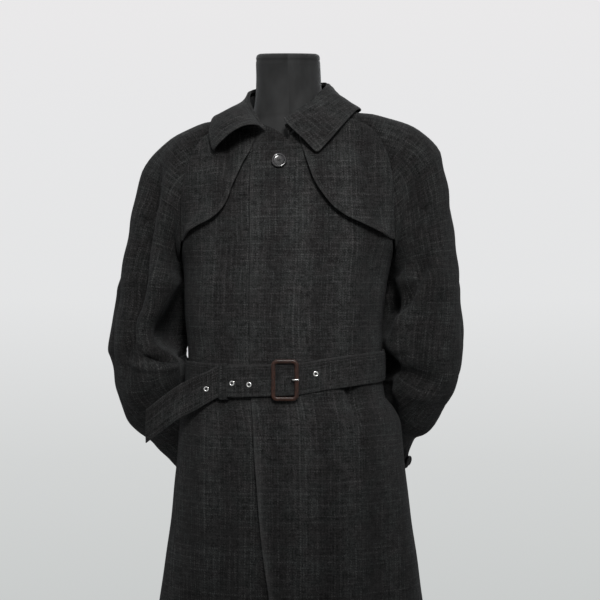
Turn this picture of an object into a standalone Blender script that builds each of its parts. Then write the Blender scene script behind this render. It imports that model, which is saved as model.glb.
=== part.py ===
# Belted raglan coat in check tweed on a covered dress form with a pole stand.
# Metres, +Z up, the front faces -Y, wearer's left is +X, the floor is Z = 0.
import math

import bmesh
import bpy
import numpy as np

for o in list(bpy.data.objects):
    bpy.data.objects.remove(o, do_unlink=True)

# ---------------------------------------------------------------- sizes
WALL = 0.0020            # cloth with its backing
GAP = 0.0003             # between sewn pieces
OVER = WALL + GAP        # lift of a piece that lies on another
FLY_LIFT = 0.0036        # the fly stands a little off the front beneath
COLLAR_WALL = 0.0024     # two layers of cloth
HEM_Z = 0.400
UNDERARM_Z = 1.215
NECK_FRONT_Z = 1.4225
NECK_BACK_Z = 1.500
NECK_HALF_W = 0.072
NECK_FRONT_Y = -0.098
NECK_BACK_Y = 0.080
NECK_RISE_POWER = 0.6
UNDER_EDGE_X = 0.030     # hidden edge of the under front
SHOULDER_LEAN = 0.054    # the wearer's left shoulder sits higher
LEAN_FROM_Z, LEAN_FULL_Z = 1.18, 1.40
BELT_H = 0.053
BELT_T = 0.0028
BELT_TAIL_H = 0.058
BUCKLE_W, BUCKLE_H, BUCKLE_BAR, BUCKLE_T = 0.046, 0.070, 0.0062, 0.0046
BUCKLE_X, BUCKLE_Z = -0.0040, 1.0125
BUTTON_R, BUTTON_T = 0.0134, 0.0046
CUFF_BUTTON_R = 0.0098
EYELET_R, EYELET_WIRE = 0.0034, 0.0009
BASE_R, BASE_T = 0.190, 0.012
POLE_R = 0.0125
FORM_FOOT_Z = 0.800
PLAN_SHIFT_X, PLAN_SHIFT_Y = 0.0030, -0.0037   # brings the box's centre over the origin

# ---------------------------------------------------------------- tables
# body rings: height, centre, half width, depth in front and behind, squareness
BODY_COLS = ("z", "xc", "a", "front", "back", "n")
BODY = [
    (0.400, 0.006, 0.262, 0.190, 0.188, 2.10),
    (0.609, 0.0065, 0.2365, 0.172, 0.168, 2.15),
    (0.850, 0.005, 0.205, 0.152, 0.145, 2.20),
    (0.930, 0.004, 0.199, 0.146, 0.137, 2.20),
    (0.958, 0.001, 0.188, 0.137, 0.128, 2.25),
    (0.978, -0.003, 0.1765, 0.1280, 0.1185, 2.30),
    (1.064, -0.006, 0.1735, 0.1275, 0.1175, 2.30),
    (1.100, -0.007, 0.1755, 0.1325, 0.1215, 2.35),
    (1.149, -0.006, 0.1800, 0.1365, 0.1250, 2.40),
    (1.215, -0.002, 0.1870, 0.1385, 0.1265, 2.40),
    (1.250, 0.000, 0.2024, 0.1370, 0.1275, 2.40),
    (1.300, 0.000, 0.2131, 0.1320, 0.1270, 2.40),
    (1.345, 0.000, 0.2242, 0.1220, 0.1230, 2.40),
    (1.376, 0.000, 0.2201, 0.1150, 0.1180, 2.40),
    (1.400, 0.000, 0.2128, 0.1070, 0.1130, 2.40),
    (1.436, 0.000, 0.1906, 0.0950, 0.1030, 2.40),
    (1.460, 0.000, 0.1448, 0.0870, 0.0960, 2.40),
    (1.475, 0.000, 0.0860, 0.0800, 0.0910, 2.40),
    (1.493, 0.000, 0.0720, 0.0760, 0.0840, 2.40),
    (1.505, 0.000, 0.0700, 0.0740, 0.0780, 2.40),
]
# raglan seams, neck to underarm: height and angle round the body from the front
SEAM_COLS = ("z", "deg")
SEAM_FRONT = [(1.4735, 52.0), (1.460, 60.0), (1.436, 66.5), (1.400, 67.0), (1.376, 66.5),
              (1.345, 66.0), (1.300, 67.0), (1.250, 70.0), (1.228, 79.0), (1.215, 90.0)]
SEAM_BACK = [(1.4930, 117.5), (1.470, 118.0), (1.440, 116.0), (1.400, 114.5), (1.345, 113.0),
             (1.300, 112.0), (1.250, 109.0), (1.228, 101.0), (1.215, 90.0)]
# shoulder and sleeve ridge over the cap, neck to underarm height
RIDGE_COLS = ("x", "y", "z")
RIDGE = [(0.074, -0.009, 1.487), (0.108, 0.000, 1.4838), (0.130, 0.003, 1.4772), (0.150, 0.005, 1.4745), (0.171, 0.007, 1.4675),
         (0.203, 0.009, 1.4530), (0.230, 0.011, 1.4340), (0.248, 0.012, 1.4155), (0.261, 0.013, 1.394),
         (0.270, 0.014, 1.366), (0.279, 0.015, 1.331), (0.288, 0.015, 1.280), (0.297, 0.015, 1.222)]
UNDERARM_FRONT_D, UNDERARM_BACK_D = 0.078, 0.085
SHOULDER_OUT_LEFT, SHOULDER_OUT_RIGHT = (0.016, 0.0085), (0.003, 0.0)   # fuller cap on the higher shoulder, above and below
# sleeve sections below the underarm: inner point, outer point, depth in front and behind, how hollow the inner side is,
# edge of the front lobe; the depth in front is taken from the lobe's edge where there is a hollow
SLEEVE_COLS = ("ix", "iy", "iz", "rx", "ry", "rz", "front", "back", "hollow", "lx", "ly")
SLEEVE_LEFT = [
    (0.1760, 0.058, 1.184, 0.3085, 0.015, 1.184, 0.084, 0.081, 0.60, 0.1950, -0.036),
    (0.1720, 0.064, 1.152, 0.3100, 0.015, 1.150, 0.081, 0.078, 0.90, 0.2010, -0.034),
    (0.1680, 0.076, 1.126, 0.3110, 0.013, 1.120, 0.079, 0.077, 0.95, 0.1990, -0.034),
    (0.1660, 0.082, 1.100, 0.3115, 0.012, 1.092, 0.076, 0.076, 0.95, 0.1850, -0.034),
    (0.1640, 0.082, 1.074, 0.3120, 0.010, 1.056, 0.073, 0.080, 0.95, 0.1740, -0.032),
    (0.1700, 0.060, 1.040, 0.3085, 0.020, 1.016, 0.070, 0.080, 0.90, 0.2040, -0.016),
    (0.1700, 0.064, 1.010, 0.2930, 0.032, 0.972, 0.058, 0.068, 0.60, 0.1870, -0.002),
    (0.1730, 0.082, 0.986, 0.2710, 0.062, 0.926, 0.046, 0.060, 0.34, 0.2000, 0.026),
    (0.174, 0.116, 0.952, 0.242, 0.114, 0.893, 0.038, 0.044, 0.00, 0.20, 0.10),
    (0.130, 0.150, 0.905, 0.230, 0.156, 0.862, 0.030, 0.036, 0.00, 0.18, 0.13),
    (0.110, 0.166, 0.868, 0.229, 0.172, 0.831, 0.030, 0.034, 0.00, 0.17, 0.14),
]
SLEEVE_RIGHT = [
    (-0.1800, 0.066, 1.182, -0.3015, 0.015, 1.182, 0.084, 0.081, 0.60, -0.1925, -0.036),
    (-0.1780, 0.080, 1.150, -0.3045, 0.015, 1.150, 0.081, 0.078, 1.00, -0.2075, -0.034),
    (-0.1780, 0.096, 1.108, -0.3110, 0.012, 1.103, 0.077, 0.076, 1.00, -0.2345, -0.034),
    (-0.1855, 0.104, 1.076, -0.3140, 0.010, 1.066, 0.071, 0.080, 1.00, -0.2325, -0.034),
    (-0.1905, 0.078, 1.048, -0.3140, 0.014, 1.038, 0.068, 0.080, 0.45, -0.1980, -0.026),
    (-0.1740, 0.066, 1.020, -0.3105, 0.020, 0.992, 0.060, 0.074, 0.70, -0.1940, -0.010),
    (-0.1800, 0.082, 0.990, -0.3015, 0.042, 0.948, 0.038, 0.066, 0.20, -0.20, 0.01),
    (-0.184, 0.106, 0.955, -0.2850, 0.076, 0.912, 0.040, 0.052, 0.00, -0.20, 0.05),
    (-0.156, 0.138, 0.912, -0.256, 0.118, 0.882, 0.034, 0.042, 0.00, -0.18, 0.10),
    (-0.120, 0.160, 0.876, -0.226, 0.156, 0.844, 0.030, 0.036, 0.00, -0.16, 0.13),
    (-0.106, 0.168, 0.862, -0.213, 0.166, 0.829, 0.030, 0.034, 0.00, -0.15, 0.14),
]
LOBE_SPLIT = 0.36        # where the lobe's edge lies along the front half of a section
HOLLOW_REACH = 0.012     # how far the hollow runs outwards behind the lobe's edge
LOBE_BACK, LOBE_IN = 0.034, 0.007
SLEEVE_FULL = 0.76
# free edge of the fly
FLY_COLS = ("z", "x")
FLY = [(0.400, 0.000), (0.644, -0.0290), (0.744, -0.0425), (0.845, -0.0511), (0.945, -0.0583),
       (1.000, -0.0625), (1.150, -0.0636), (1.360, -0.0632), (1.400, -0.0600), (1.425, -0.0560)]
# free edges of the storm flaps, neck to armhole
FLAP_COLS = ("x", "z")
FLAP_LEFT = [(0.020, 1.432), (0.0268, 1.4068), (0.0405, 1.3638), (0.0525, 1.338), (0.0731, 1.3105),
             (0.0989, 1.2916), (0.1333, 1.2762), (0.1800, 1.2560)]
FLAP_RIGHT = [(-0.0575, 1.4285), (-0.0665, 1.4020), (-0.0800, 1.3740), (-0.0925, 1.3440), (-0.1050, 1.3110),
              (-0.1255, 1.2895), (-0.1545, 1.2745), (-0.1800, 1.2560)]
FLAP_LIFT = 0.0120       # the free edge stands off the chest
# collar stations from the wearer's right front round the back: neckline angle, fold, outer edge, bulge
COLLAR_COLS = ("deg", "fx", "fy", "fz", "ex", "ey", "ez", "bulge")
COLLAR = [
    (-24, -0.0405, -0.0975, 1.4430, -0.1300, -0.1080, 1.4060, 0.050),
    (-42, -0.0580, -0.0810, 1.4720, -0.1385, -0.0780, 1.4395, 0.030),
    (-64, -0.0670, -0.0460, 1.4950, -0.1345, -0.0420, 1.4710, 0.006),
    (-92, -0.0680, -0.0020, 1.5135, -0.1240, 0.0060, 1.4820, -0.009),
    (-128, -0.0600, 0.0460, 1.5300, -0.0960, 0.0720, 1.4720, -0.002),
    (-180, 0.0000, 0.0860, 1.5420, 0.0000, 0.1080, 1.4700, 0.008),
    (-232, 0.0610, 0.0460, 1.5420, 0.0980, 0.0720, 1.4840, 0.004),
    (-268, 0.0690, -0.0020, 1.5320, 0.1300, 0.0020, 1.4905, -0.004),
    (-302, 0.0600, -0.0400, 1.5160, 0.1220, -0.0560, 1.4855, 0.004),
    (-328, 0.0400, -0.0680, 1.4930, 0.0990, -0.0960, 1.4580, 0.007),
    (-345, 0.0180, -0.0840, 1.4760, 0.0750, -0.1190, 1.4290, 0.006),
    (-358, -0.0044, -0.0950, 1.4600, 0.0508, -0.1320, 1.4014, 0.005),
]
COLLAR_ROLL_R = 0.0042
STAND_DROP = 0.0075      # the stand ends this far under the fold
# belt stations: angle from the front, turning to the wearer's right and round the back; centre height; lift
BELT_COLS = ("deg", "z", "lift")
BELT = [
    (-5.0, 1.0125, 0.0050), (-20, 1.0115, 0.0050), (-35, 1.0118, 0.0048), (-42, 1.0120, 0.0040), (-70, 1.0140, 0.0030),
    (-100, 1.0180, 0.0028), (-180, 1.0290, 0.0028), (-265, 1.0330, 0.0028), (-300, 1.0300, 0.0036),
    (-330, 1.0220, 0.0050), (-346, 1.0155, 0.0054), (-353, 1.0130, 0.0080), (-362, 1.0125, 0.0083),
    (-380, 1.0110, 0.0083), (-395, 1.0095, 0.0083), (-402, 1.0090, 0.0076), (-409, 1.0075, 0.0078),
]
# loose end of the belt past the keeper
TAIL_COLS = ("x", "y", "z")
TAIL = [(-0.1370, -0.1080, 0.9990), (-0.1550, -0.1055, 0.9895), (-0.1864, -0.0985, 0.9735),
        (-0.2132, -0.0920, 0.9545), (-0.2460, -0.0820, 0.9290)]
KEEPER_DEG, KEEPER_W, KEEPER_T = -42.5, 0.0155, 0.0018
# dress form rings
FORM_COLS = ("z", "xc", "a", "front", "back", "n")
FORM = [
    (0.800, 0.003, 0.118, 0.084, 0.078, 2.1), (0.806, 0.003, 0.138, 0.100, 0.094, 2.1),
    (0.830, 0.003, 0.151, 0.110, 0.103, 2.1), (0.900, 0.002, 0.155, 0.112, 0.105, 2.1),
    (0.960, -0.001, 0.149, 0.106, 0.098, 2.1), (1.020, -0.004, 0.142, 0.100, 0.091, 2.1),
    (1.080, -0.005, 0.146, 0.105, 0.095, 2.1), (1.150, -0.004, 0.157, 0.115, 0.105, 2.2),
    (1.230, -0.001, 0.166, 0.118, 0.110, 2.2), (1.300, 0.000, 0.174, 0.111, 0.109, 2.2),
    (1.345, 0.000, 0.180, 0.099, 0.103, 2.2), (1.380, 0.000, 0.181, 0.086, 0.095, 2.2),
    (1.405, 0.000, 0.172, 0.076, 0.087, 2.2), (1.425, 0.000, 0.150, 0.069, 0.080, 2.1),
    (1.440, 0.001, 0.122, 0.064, 0.075, 2.1), (1.455, 0.002, 0.094, 0.0605, 0.071, 2.0),
    (1.470, 0.002, 0.074, 0.0585, 0.068, 2.0), (1.490, 0.002, 0.0645, 0.0570, 0.066, 2.0),
    (1.515, 0.0015, 0.0600, 0.0560, 0.0635, 2.0), (1.550, 0.001, 0.0582, 0.0555, 0.0615, 2.0),
    (1.583, 0.000, 0.0576, 0.0550, 0.0605, 2.0), (1.589, 0.000, 0.0560, 0.0532, 0.0588, 2.0),
    (1.592, 0.000, 0.0510, 0.0480, 0.0530, 2.0),
]

# ---------------------------------------------------------------- mesh density
CAP_ROWS = 8
LOW_ROWS = 15
FRONT_COLS, BACK_COLS_N = 11, 7
SLEEVE_COLS_N = 16
TUBE_STEPS = 2
COLLAR_STEPS = 2
FORM_SIDES = 28


# ---------------------------------------------------------------- helpers
def columns(rows, names):
    arr = np.array(rows, dtype=float)
    return {n: arr[:, i] for i, n in enumerate(names)}


def smooth(t):
    t = np.clip(t, 0.0, 1.0)
    return t * t * (3 - 2 * t)


def curve(xs, ys):
    """Monotone cubic through the points of one table column."""
    xs, ys = np.asarray(xs, float), np.asarray(ys, float)
    if xs[0] > xs[-1]:
        xs, ys = xs[::-1], ys[::-1]
    h = np.diff(xs)
    d = np.diff(ys) / h
    m = np.zeros(len(xs))
    m[0], m[-1] = d[0], d[-1]
    for i in range(1, len(xs) - 1):
        if d[i - 1] * d[i] > 0:
            w1, w2 = 2 * h[i] + h[i - 1], h[i] + 2 * h[i - 1]
            m[i] = (w1 + w2) / (w1 / d[i - 1] + w2 / d[i])

    def f(x):
        x = np.clip(np.asarray(x, float), xs[0], xs[-1])
        i = np.clip(np.searchsorted(xs, x, side="right") - 1, 0, len(h) - 1)
        t = (x - xs[i]) / h[i]
        return ((2 * t**3 - 3 * t**2 + 1) * ys[i] + (t**3 - 2 * t**2 + t) * h[i] * m[i]
                + (-2 * t**3 + 3 * t**2) * ys[i + 1] + (t**3 - t**2) * h[i] * m[i + 1])
    return f


def table(rows, names, key):
    c = columns(rows, names)
    return {n: curve(c[key], c[n]) for n in names if n != key}


def unit(v):
    v = np.asarray(v, float)
    return v / np.maximum(np.linalg.norm(v, axis=-1, keepdims=True), 1e-12)


def along(points, fractions):
    """Points at fractions of the length of a line."""
    p = np.asarray(points, float)
    s = np.concatenate([[0], np.cumsum(np.linalg.norm(np.diff(p, axis=0), axis=1))])
    s /= s[-1]
    return np.stack([np.interp(fractions, s, p[:, k]) for k in range(p.shape[1])], axis=1)


def rounded(points, per):
    """Catmull-Rom through the points, with `per` steps to a span."""
    p = np.asarray(points, float)
    q = np.concatenate([[2 * p[0] - p[1]], p, [2 * p[-1] - p[-2]]])
    out = []
    for i in range(1, len(q) - 2):
        for j in range(per):
            t = j / per
            out.append(0.5 * (2 * q[i] + (q[i + 1] - q[i - 1]) * t
                              + (2 * q[i - 1] - 5 * q[i] + 4 * q[i + 1] - q[i + 2]) * t**2
                              + (3 * q[i] - q[i - 1] - 3 * q[i + 1] + q[i + 2]) * t**3))
    out.append(p[-1])
    return np.array(out)


def lean(p):
    p = np.array(p, float)
    p[..., 2] += SHOULDER_LEAN * p[..., 0] * smooth((p[..., 2] - LEAN_FROM_Z) / (LEAN_FULL_Z - LEAN_FROM_Z))
    return p


body_t = table(BODY, BODY_COLS, "z")
form_t = table(FORM, FORM_COLS, "z")


def ring_r(t, psi, z):
    s, c = np.sin(psi), np.cos(psi)
    b = np.where(c > 0, t["front"](z), t["back"](z))
    n = t["n"](z)
    return (np.abs(s / t["a"](z)) ** n + np.abs(c / b) ** n) ** (-1.0 / n)


def body(psi, z, out=0.0):
    """Point on the coat's body at an angle from the front and a height, moved out."""
    psi, z = np.broadcast_arrays(np.asarray(psi, float), np.asarray(z, float))
    r = ring_r(body_t, psi, z)
    p = lean(np.stack([body_t["xc"](z) + r * np.sin(psi), -r * np.cos(psi), z], axis=-1))
    if np.any(np.asarray(out) != 0.0):
        p = p + body_normal(psi, z) * np.asarray(out)[..., None]
    return p


def body_normal(psi, z):
    e, k = 1e-3, 1e-4
    dp = body(psi + e, z) - body(psi - e, z)
    dz = body(psi, z + k) - body(psi, z - k)
    return unit(np.cross(dp, dz))


def angle_at(x, z):
    """Angle on the front where the body has this x."""
    a, b, n = body_t["a"](z), body_t["front"](z), body_t["n"](z)
    u = np.clip(x - body_t["xc"](z), -0.999 * a, 0.999 * a)
    return np.arctan2(u, b * (1 - np.abs(u / a) ** n) ** (1 / n))


def normals(p, outward):
    """Grid normals, turned to the side that `outward` points to at each point."""
    du, dv = np.gradient(p, axis=1), np.gradient(p, axis=0)
    n = unit(np.cross(du, dv))
    flip = np.sign(np.sum(n * outward, axis=-1, keepdims=True))
    flip[flip == 0] = 1
    return n * flip


def finish(bm, name, colour, rough, metal=0.0):
    bmesh.ops.recalc_face_normals(bm, faces=bm.faces)
    if bm.calc_volume(signed=True) < 0:
        bmesh.ops.reverse_faces(bm, faces=bm.faces)
    me = bpy.data.meshes.new(name)
    bm.to_mesh(me)
    bm.free()
    ob = bpy.data.objects.new(name, me)
    bpy.context.scene.collection.objects.link(ob)
    m = bpy.data.materials.new("mat_" + name)
    m.use_nodes = True
    b = m.node_tree.nodes["Principled BSDF"]
    b.inputs["Base Color"].default_value = (*colour, 1)
    b.inputs["Roughness"].default_value = rough
    b.inputs["Metallic"].default_value = metal
    me.materials.append(m)
    return ob


def shell(name, outer, inner, colour, rough=0.9, metal=0.0, wrap_from=None):
    """Closed wall between two grids; from row `wrap_from` on the first and last columns are one."""
    rows, cols = outer.shape[:2]
    wrap_from = rows if wrap_from is None else wrap_from
    bm = bmesh.new()

    def verts(grid):
        v = []
        for r in range(rows):
            line = []
            for c in range(cols):
                if c == cols - 1 and r >= wrap_from:
                    line.append(line[0])
                else:
                    x, y, z = grid[r, c]
                    line.append(bm.verts.new((x + PLAN_SHIFT_X, y + PLAN_SHIFT_Y, z)))
            v.append(line)
        return v
    o, i = verts(outer), verts(inner)
    for r in range(rows - 1):
        for c in range(cols - 1):
            bm.faces.new((o[r][c], o[r][c + 1], o[r + 1][c + 1], o[r + 1][c]))
            bm.faces.new((i[r][c], i[r + 1][c], i[r + 1][c + 1], i[r][c + 1]))
    for r in (0, rows - 1):
        for c in range(cols - 1):
            bm.faces.new((o[r][c], o[r][c + 1], i[r][c + 1], i[r][c]))
    for c in (0, cols - 1):
        for r in range(min(rows - 1, wrap_from)):
            bm.faces.new((o[r][c], o[r + 1][c], i[r + 1][c], i[r][c]))
    return finish(bm, name, colour, rough, metal)


def loft(name, rings, colour, rough, metal=0.0):
    """Closed solid through rings, capped flat at both ends."""
    bm = bmesh.new()
    v = [[bm.verts.new((p[0] + PLAN_SHIFT_X, p[1] + PLAN_SHIFT_Y, p[2])) for p in ring] for ring in rings]
    k = len(v[0])
    for a, b in zip(v, v[1:]):
        for i in range(k):
            bm.faces.new((a[i], a[(i + 1) % k], b[(i + 1) % k], b[i]))
    for ring in (v[0], v[-1]):
        c = bm.verts.new(np.mean([p.co for p in ring], axis=0))
        for i in range(k):
            bm.faces.new((ring[i], ring[(i + 1) % k], c))
    return finish(bm, name, colour, rough, metal)


def hoop(name, grid, colour, rough, metal=0.0):
    """Closed ring: sections that wrap in both directions."""
    bm = bmesh.new()
    v = [[bm.verts.new((p[0] + PLAN_SHIFT_X, p[1] + PLAN_SHIFT_Y, p[2])) for p in s] for s in grid]
    n, k = len(v), len(v[0])
    for i in range(n):
        for j in range(k):
            bm.faces.new((v[i][j], v[(i + 1) % n][j], v[(i + 1) % n][(j + 1) % k], v[i][(j + 1) % k]))
    return finish(bm, name, colour, rough, metal)


def frame_of(normal, up=(0, 0, 1)):
    n = unit(normal)
    s = unit(np.cross(up, n))
    return s, np.cross(n, s), n


def turned(name, centre, axis, profile, sides, colour, rough, metal=0.0):
    """Turned solid: (radius, height) rows along an axis."""
    s, u, n = frame_of(axis) if abs(unit(axis)[2]) < 0.9 else frame_of(axis, (0, 1, 0))
    rings = []
    for r, h in profile:
        rings.append([np.asarray(centre) + r * (math.cos(t) * s + math.sin(t) * u) + h * n
                      for t in np.linspace(0, 2 * math.pi, sides, endpoint=False)])
    return loft(name, rings, colour, rough, metal)


TWEED = (0.021, 0.021, 0.021)
FORM_BLACK = (0.022, 0.023, 0.023)

# ---------------------------------------------------------------- seams and neckline
CAP_T = np.linspace(0.0, 1.0, CAP_ROWS + 1)          # neck to underarm


def seam_line(rows, side):
    c = columns(rows, SEAM_COLS)
    k = np.arange(len(rows), dtype=float)
    fine = np.linspace(0, k[-1], 241)
    z, deg = curve(k, c["z"])(fine), curve(k, c["deg"])(fine)
    pts = body(np.radians(deg) * side, z)
    s = np.concatenate([[0], np.cumsum(np.linalg.norm(np.diff(pts, axis=0), axis=1))])
    s /= s[-1]
    return np.interp(CAP_T, s, z), np.interp(CAP_T, s, np.radians(deg)) * side


def neckline(deg):
    """Neck seam at an angle round the neck from the front."""
    f = np.radians(deg)
    mid, half = (NECK_FRONT_Y + NECK_BACK_Y) / 2, (NECK_BACK_Y - NECK_FRONT_Y) / 2
    rise = np.abs(np.sin(f / 2)) ** NECK_RISE_POWER
    return lean(np.stack([NECK_HALF_W * np.sin(f), mid - half * np.cos(f),
                          NECK_FRONT_Z + (NECK_BACK_Z - NECK_FRONT_Z) * rise], axis=-1))


fly_x = table(FLY, FLY_COLS, "z")["x"]
LOW_Z = np.concatenate([np.linspace(HEM_Z, 0.93, 8), [0.958, 0.978, 1.020, 1.064],
                        np.linspace(1.100, UNDERARM_Z, 5)[:-1]])


def fly_lift(psi):
    """How far the over front stands off at an angle; it comes down to the side seam."""
    return FLY_LIFT * (1 - smooth((np.degrees(psi) - 25) / 33))


def front_grid(side, edge_x, over):
    """Front panel rows from the hem to the neck, columns from the front edge to the side."""
    u = np.linspace(0, 1, FRONT_COLS + 1)
    rows, lifts = [], []
    zs, ps = seam_line(SEAM_FRONT, side)
    for z in LOW_Z:
        pe = angle_at(edge_x(z), z)
        ends = side * (math.pi / 2 - 0.00015 / body_t["a"](z))
        rows.append((pe + (ends - pe) * u, np.full_like(u, z)))
    for k in range(CAP_ROWS, -1, -1):
        v = 1 - CAP_T[k]
        ze = UNDERARM_Z + (NECK_FRONT_Z - UNDERARM_Z) * v
        pe = angle_at(edge_x(ze), ze)
        psi = pe + (ps[k] - side * 0.0002 / 0.19 - pe) * u
        top = (np.clip(psi * side, 0, None) / abs(ps[k])) ** 0.55
        w = (1 - v * v) * u + v * v * top
        rows.append((psi, ze + (zs[k] - ze) * w))
    psi = np.array([r[0] for r in rows])
    z = np.array([r[1] for r in rows])
    return psi, z, fly_lift(psi) if over else 0 * psi


def back_grid(side):
    u = np.linspace(0, 1, BACK_COLS_N + 1)
    psi, z = [], []
    zs, ps = seam_line(SEAM_BACK, side)
    for zz in LOW_Z:
        a = side * (math.pi / 2 + 0.00015 / body_t["a"](zz))
        b = side * (math.pi - 0.00015 / body_t["back"](zz))
        psi.append(a + (b - a) * u)
        z.append(np.full_like(u, zz))
    for k in range(CAP_ROWS, -1, -1):
        v = 1 - CAP_T[k]
        zc = UNDERARM_Z + (NECK_BACK_Z - UNDERARM_Z) * v
        a = ps[k] + side * 0.0002 / 0.19
        b = side * (math.pi - 0.00015 / body_t["back"](zc))
        psi.append(a + (b - a) * u)
        z.append(zs[k] + (zc - zs[k]) * u)
    return np.array(psi), np.array(z)


# ---------------------------------------------------------------- sleeves
def bezier(a, ca, cb, b, s):
    s = s[:, None]
    return a * (1 - s) ** 3 + ca * 3 * s * (1 - s) ** 2 + cb * 3 * s**2 * (1 - s) + b * s**3


def split_curve(c0, c1, c2, c3, t):
    """A Bezier curve as two, cut at t: control points of both."""
    d0, d1, d2 = c0 + (c1 - c0) * t, c1 + (c2 - c1) * t, c2 + (c3 - c2) * t
    e0, e1 = d0 + (d1 - d0) * t, d1 + (d2 - d1) * t
    m = e0 + (e1 - e0) * t
    return [c0, d0, e0, m, e1, d2, c3]


def sleeve_grid(side, rows):
    """Sections from the neck to the cuff, columns from the front seam over the ridge to the back seam."""
    zs, ps = seam_line(SEAM_FRONT, side)
    zb, pb = seam_line(SEAM_BACK, side)
    front, back = body(ps, zs), body(pb, zb)
    fine = rounded(np.array(RIDGE), 8)
    high, low = SHOULDER_OUT_LEFT if side > 0 else SHOULDER_OUT_RIGHT
    fine[:, 0] += smooth((fine[:, 0] - 0.15) / 0.07) * (low + (high - low) * smooth((fine[:, 2] - 1.262) / 0.075))
    ridge = lean(along(fine, CAP_T) * np.array([side, 1, 1]))
    fwd = np.array([0.0, -1.0, 0.0])
    flat = np.array([1.0, 0.0, 1.0])
    secs = []
    for k in range(CAP_ROWS + 1):
        w = smooth((CAP_T[k] - 0.5) / 0.5)
        a, r, b = front[k], ridge[k], back[k]
        if k == CAP_ROWS:
            a = b = front[k] + np.array([side * 0.0006, 0, 0])
        qa, qr = 0.5523 * (r - a) * flat, SLEEVE_FULL * (a - r) * (1 - flat)
        h = 4 / 3 * UNDERARM_FRONT_D * fwd
        qb, qs = 0.5523 * (r - b) * flat, 0.5523 * (b - r) * (1 - flat)
        g = -4 / 3 * UNDERARM_BACK_D * fwd
        fore = split_curve(a, a + qa * (1 - w) + h * w * 0.72, r + qr * (1 - w) + h * w * 1.36, r, LOBE_SPLIT)
        secs.append(np.array(fore + [r + qs * (1 - w) + g * w, b + qb * (1 - w) + g * w, b]))
    c = columns(rows, SLEEVE_COLS)
    inner = np.stack([c["ix"], c["iy"], c["iz"]], axis=1)
    outer = np.stack([c["rx"], c["ry"], c["rz"]], axis=1)
    lobes = np.stack([c["lx"], c["ly"], inner[:, 2] + LOBE_SPLIT * (outer - inner)[:, 2]], axis=1)
    near = np.where(c["hollow"][:, None] > 0, lobes, inner)
    mid = np.concatenate([[(secs[-1][3] * [1, 0.4, 1] + secs[-1][6]) / 2], (near + outer) / 2])
    path = unit(np.gradient(mid, axis=0))
    keys = [np.ravel(secs[-1])]
    for j in range(len(rows)):
        across = outer[j] - inner[j]
        d = unit(np.cross(path[j + 1], across)) * side
        if np.dot(d, fwd) < 0:
            d = -d
        e = unit(across)
        f, g = 4 / 3 * c["front"][j] * d, -4 / 3 * c["back"][j] * d
        q = c["hollow"][j]
        if q == 0.0:
            fore = split_curve(inner[j], inner[j] + f, outer[j] + f, outer[j], LOBE_SPLIT)
        else:
            ahead = unit(fwd - path[j + 1] * np.dot(fwd, path[j + 1]))
            lobe = lobes[j]
            step = (lobe - inner[j]) / 3
            turn = ahead * LOBE_BACK - e * LOBE_IN
            well = lobe + e * HOLLOW_REACH + (inner[j] - lobe) * np.array([0.25, 0.95, 0])
            deep = c["front"][j]
            fore = [inner[j], (inner[j] + step) * (1 - q) + well * q, (inner[j] + 2 * step) * (1 - q) + (lobe - turn) * q, lobe,
                    lobe + ahead * deep * 0.70 - e * LOBE_IN, outer[j] + ahead * deep * 1.62, outer[j]]
        keys.append(np.ravel(fore + [outer[j] + g, inner[j] + g, inner[j]]))
    tube = rounded(np.array(keys), TUBE_STEPS)[1:]
    allsec = secs + [t.reshape(10, 3) for t in tube]
    quarter, half = np.linspace(0, 1, SLEEVE_COLS_N // 4 + 1), np.linspace(0, 1, SLEEVE_COLS_N // 2 + 1)
    grid = []
    for q in allsec:
        f = bezier(q[0], q[1], q[2], q[3], quarter)
        g = bezier(q[3], q[4], q[5], q[6], quarter)
        h = bezier(q[6], q[7], q[8], q[9], half)
        grid.append(np.concatenate([f, g[1:], h[1:]]))
    grid = np.array(grid)
    # even out the turn from cap to tube, away from the seams
    u = np.linspace(0, 1, grid.shape[1])[None, :, None]
    rows_i = np.arange(len(grid))[:, None, None]
    hold = smooth((np.minimum(u, 1 - u) - 0.02) / 0.10) * smooth((rows_i - CAP_ROWS + 4) / 2) * smooth((CAP_ROWS + 3 - rows_i) / 2)
    gap = np.linalg.norm(np.diff(grid[:, grid.shape[1] // 2], axis=0), axis=1)
    share = (gap[1:] / (gap[1:] + gap[:-1]))[:, None, None]
    for _ in range(6):
        even = grid.copy()
        even[1:-1] = grid[:-2] * share + grid[2:] * (1 - share)
        grid = grid + 0.5 * hold * (even - grid)
    for k in range(CAP_ROWS):
        for c0, c1 in ((0, 1), (-1, -2)):
            grid[k, c0] += unit(grid[k, c1] - grid[k, c0]) * 0.0002
    return grid


def sleeve_normals(grid):
    """Normals that point away from each section's middle line."""
    mid = grid.mean(axis=1, keepdims=True)
    n = normals(grid, grid - mid)
    first = CAP_ROWS
    wrap = grid[first:]
    ring = np.concatenate([wrap[:, -2:-1], wrap, wrap[:, 1:2]], axis=1)
    du = (ring[:, 2:] - ring[:, :-2]) / 2
    dv = np.gradient(grid, axis=0)[first:]
    nn = unit(np.cross(du, dv))
    flip = np.sign(np.sum(nn * (wrap - mid[first:]), axis=-1).mean(axis=1))[:, None, None]
    n[first:] = nn * flip
    return n


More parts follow.
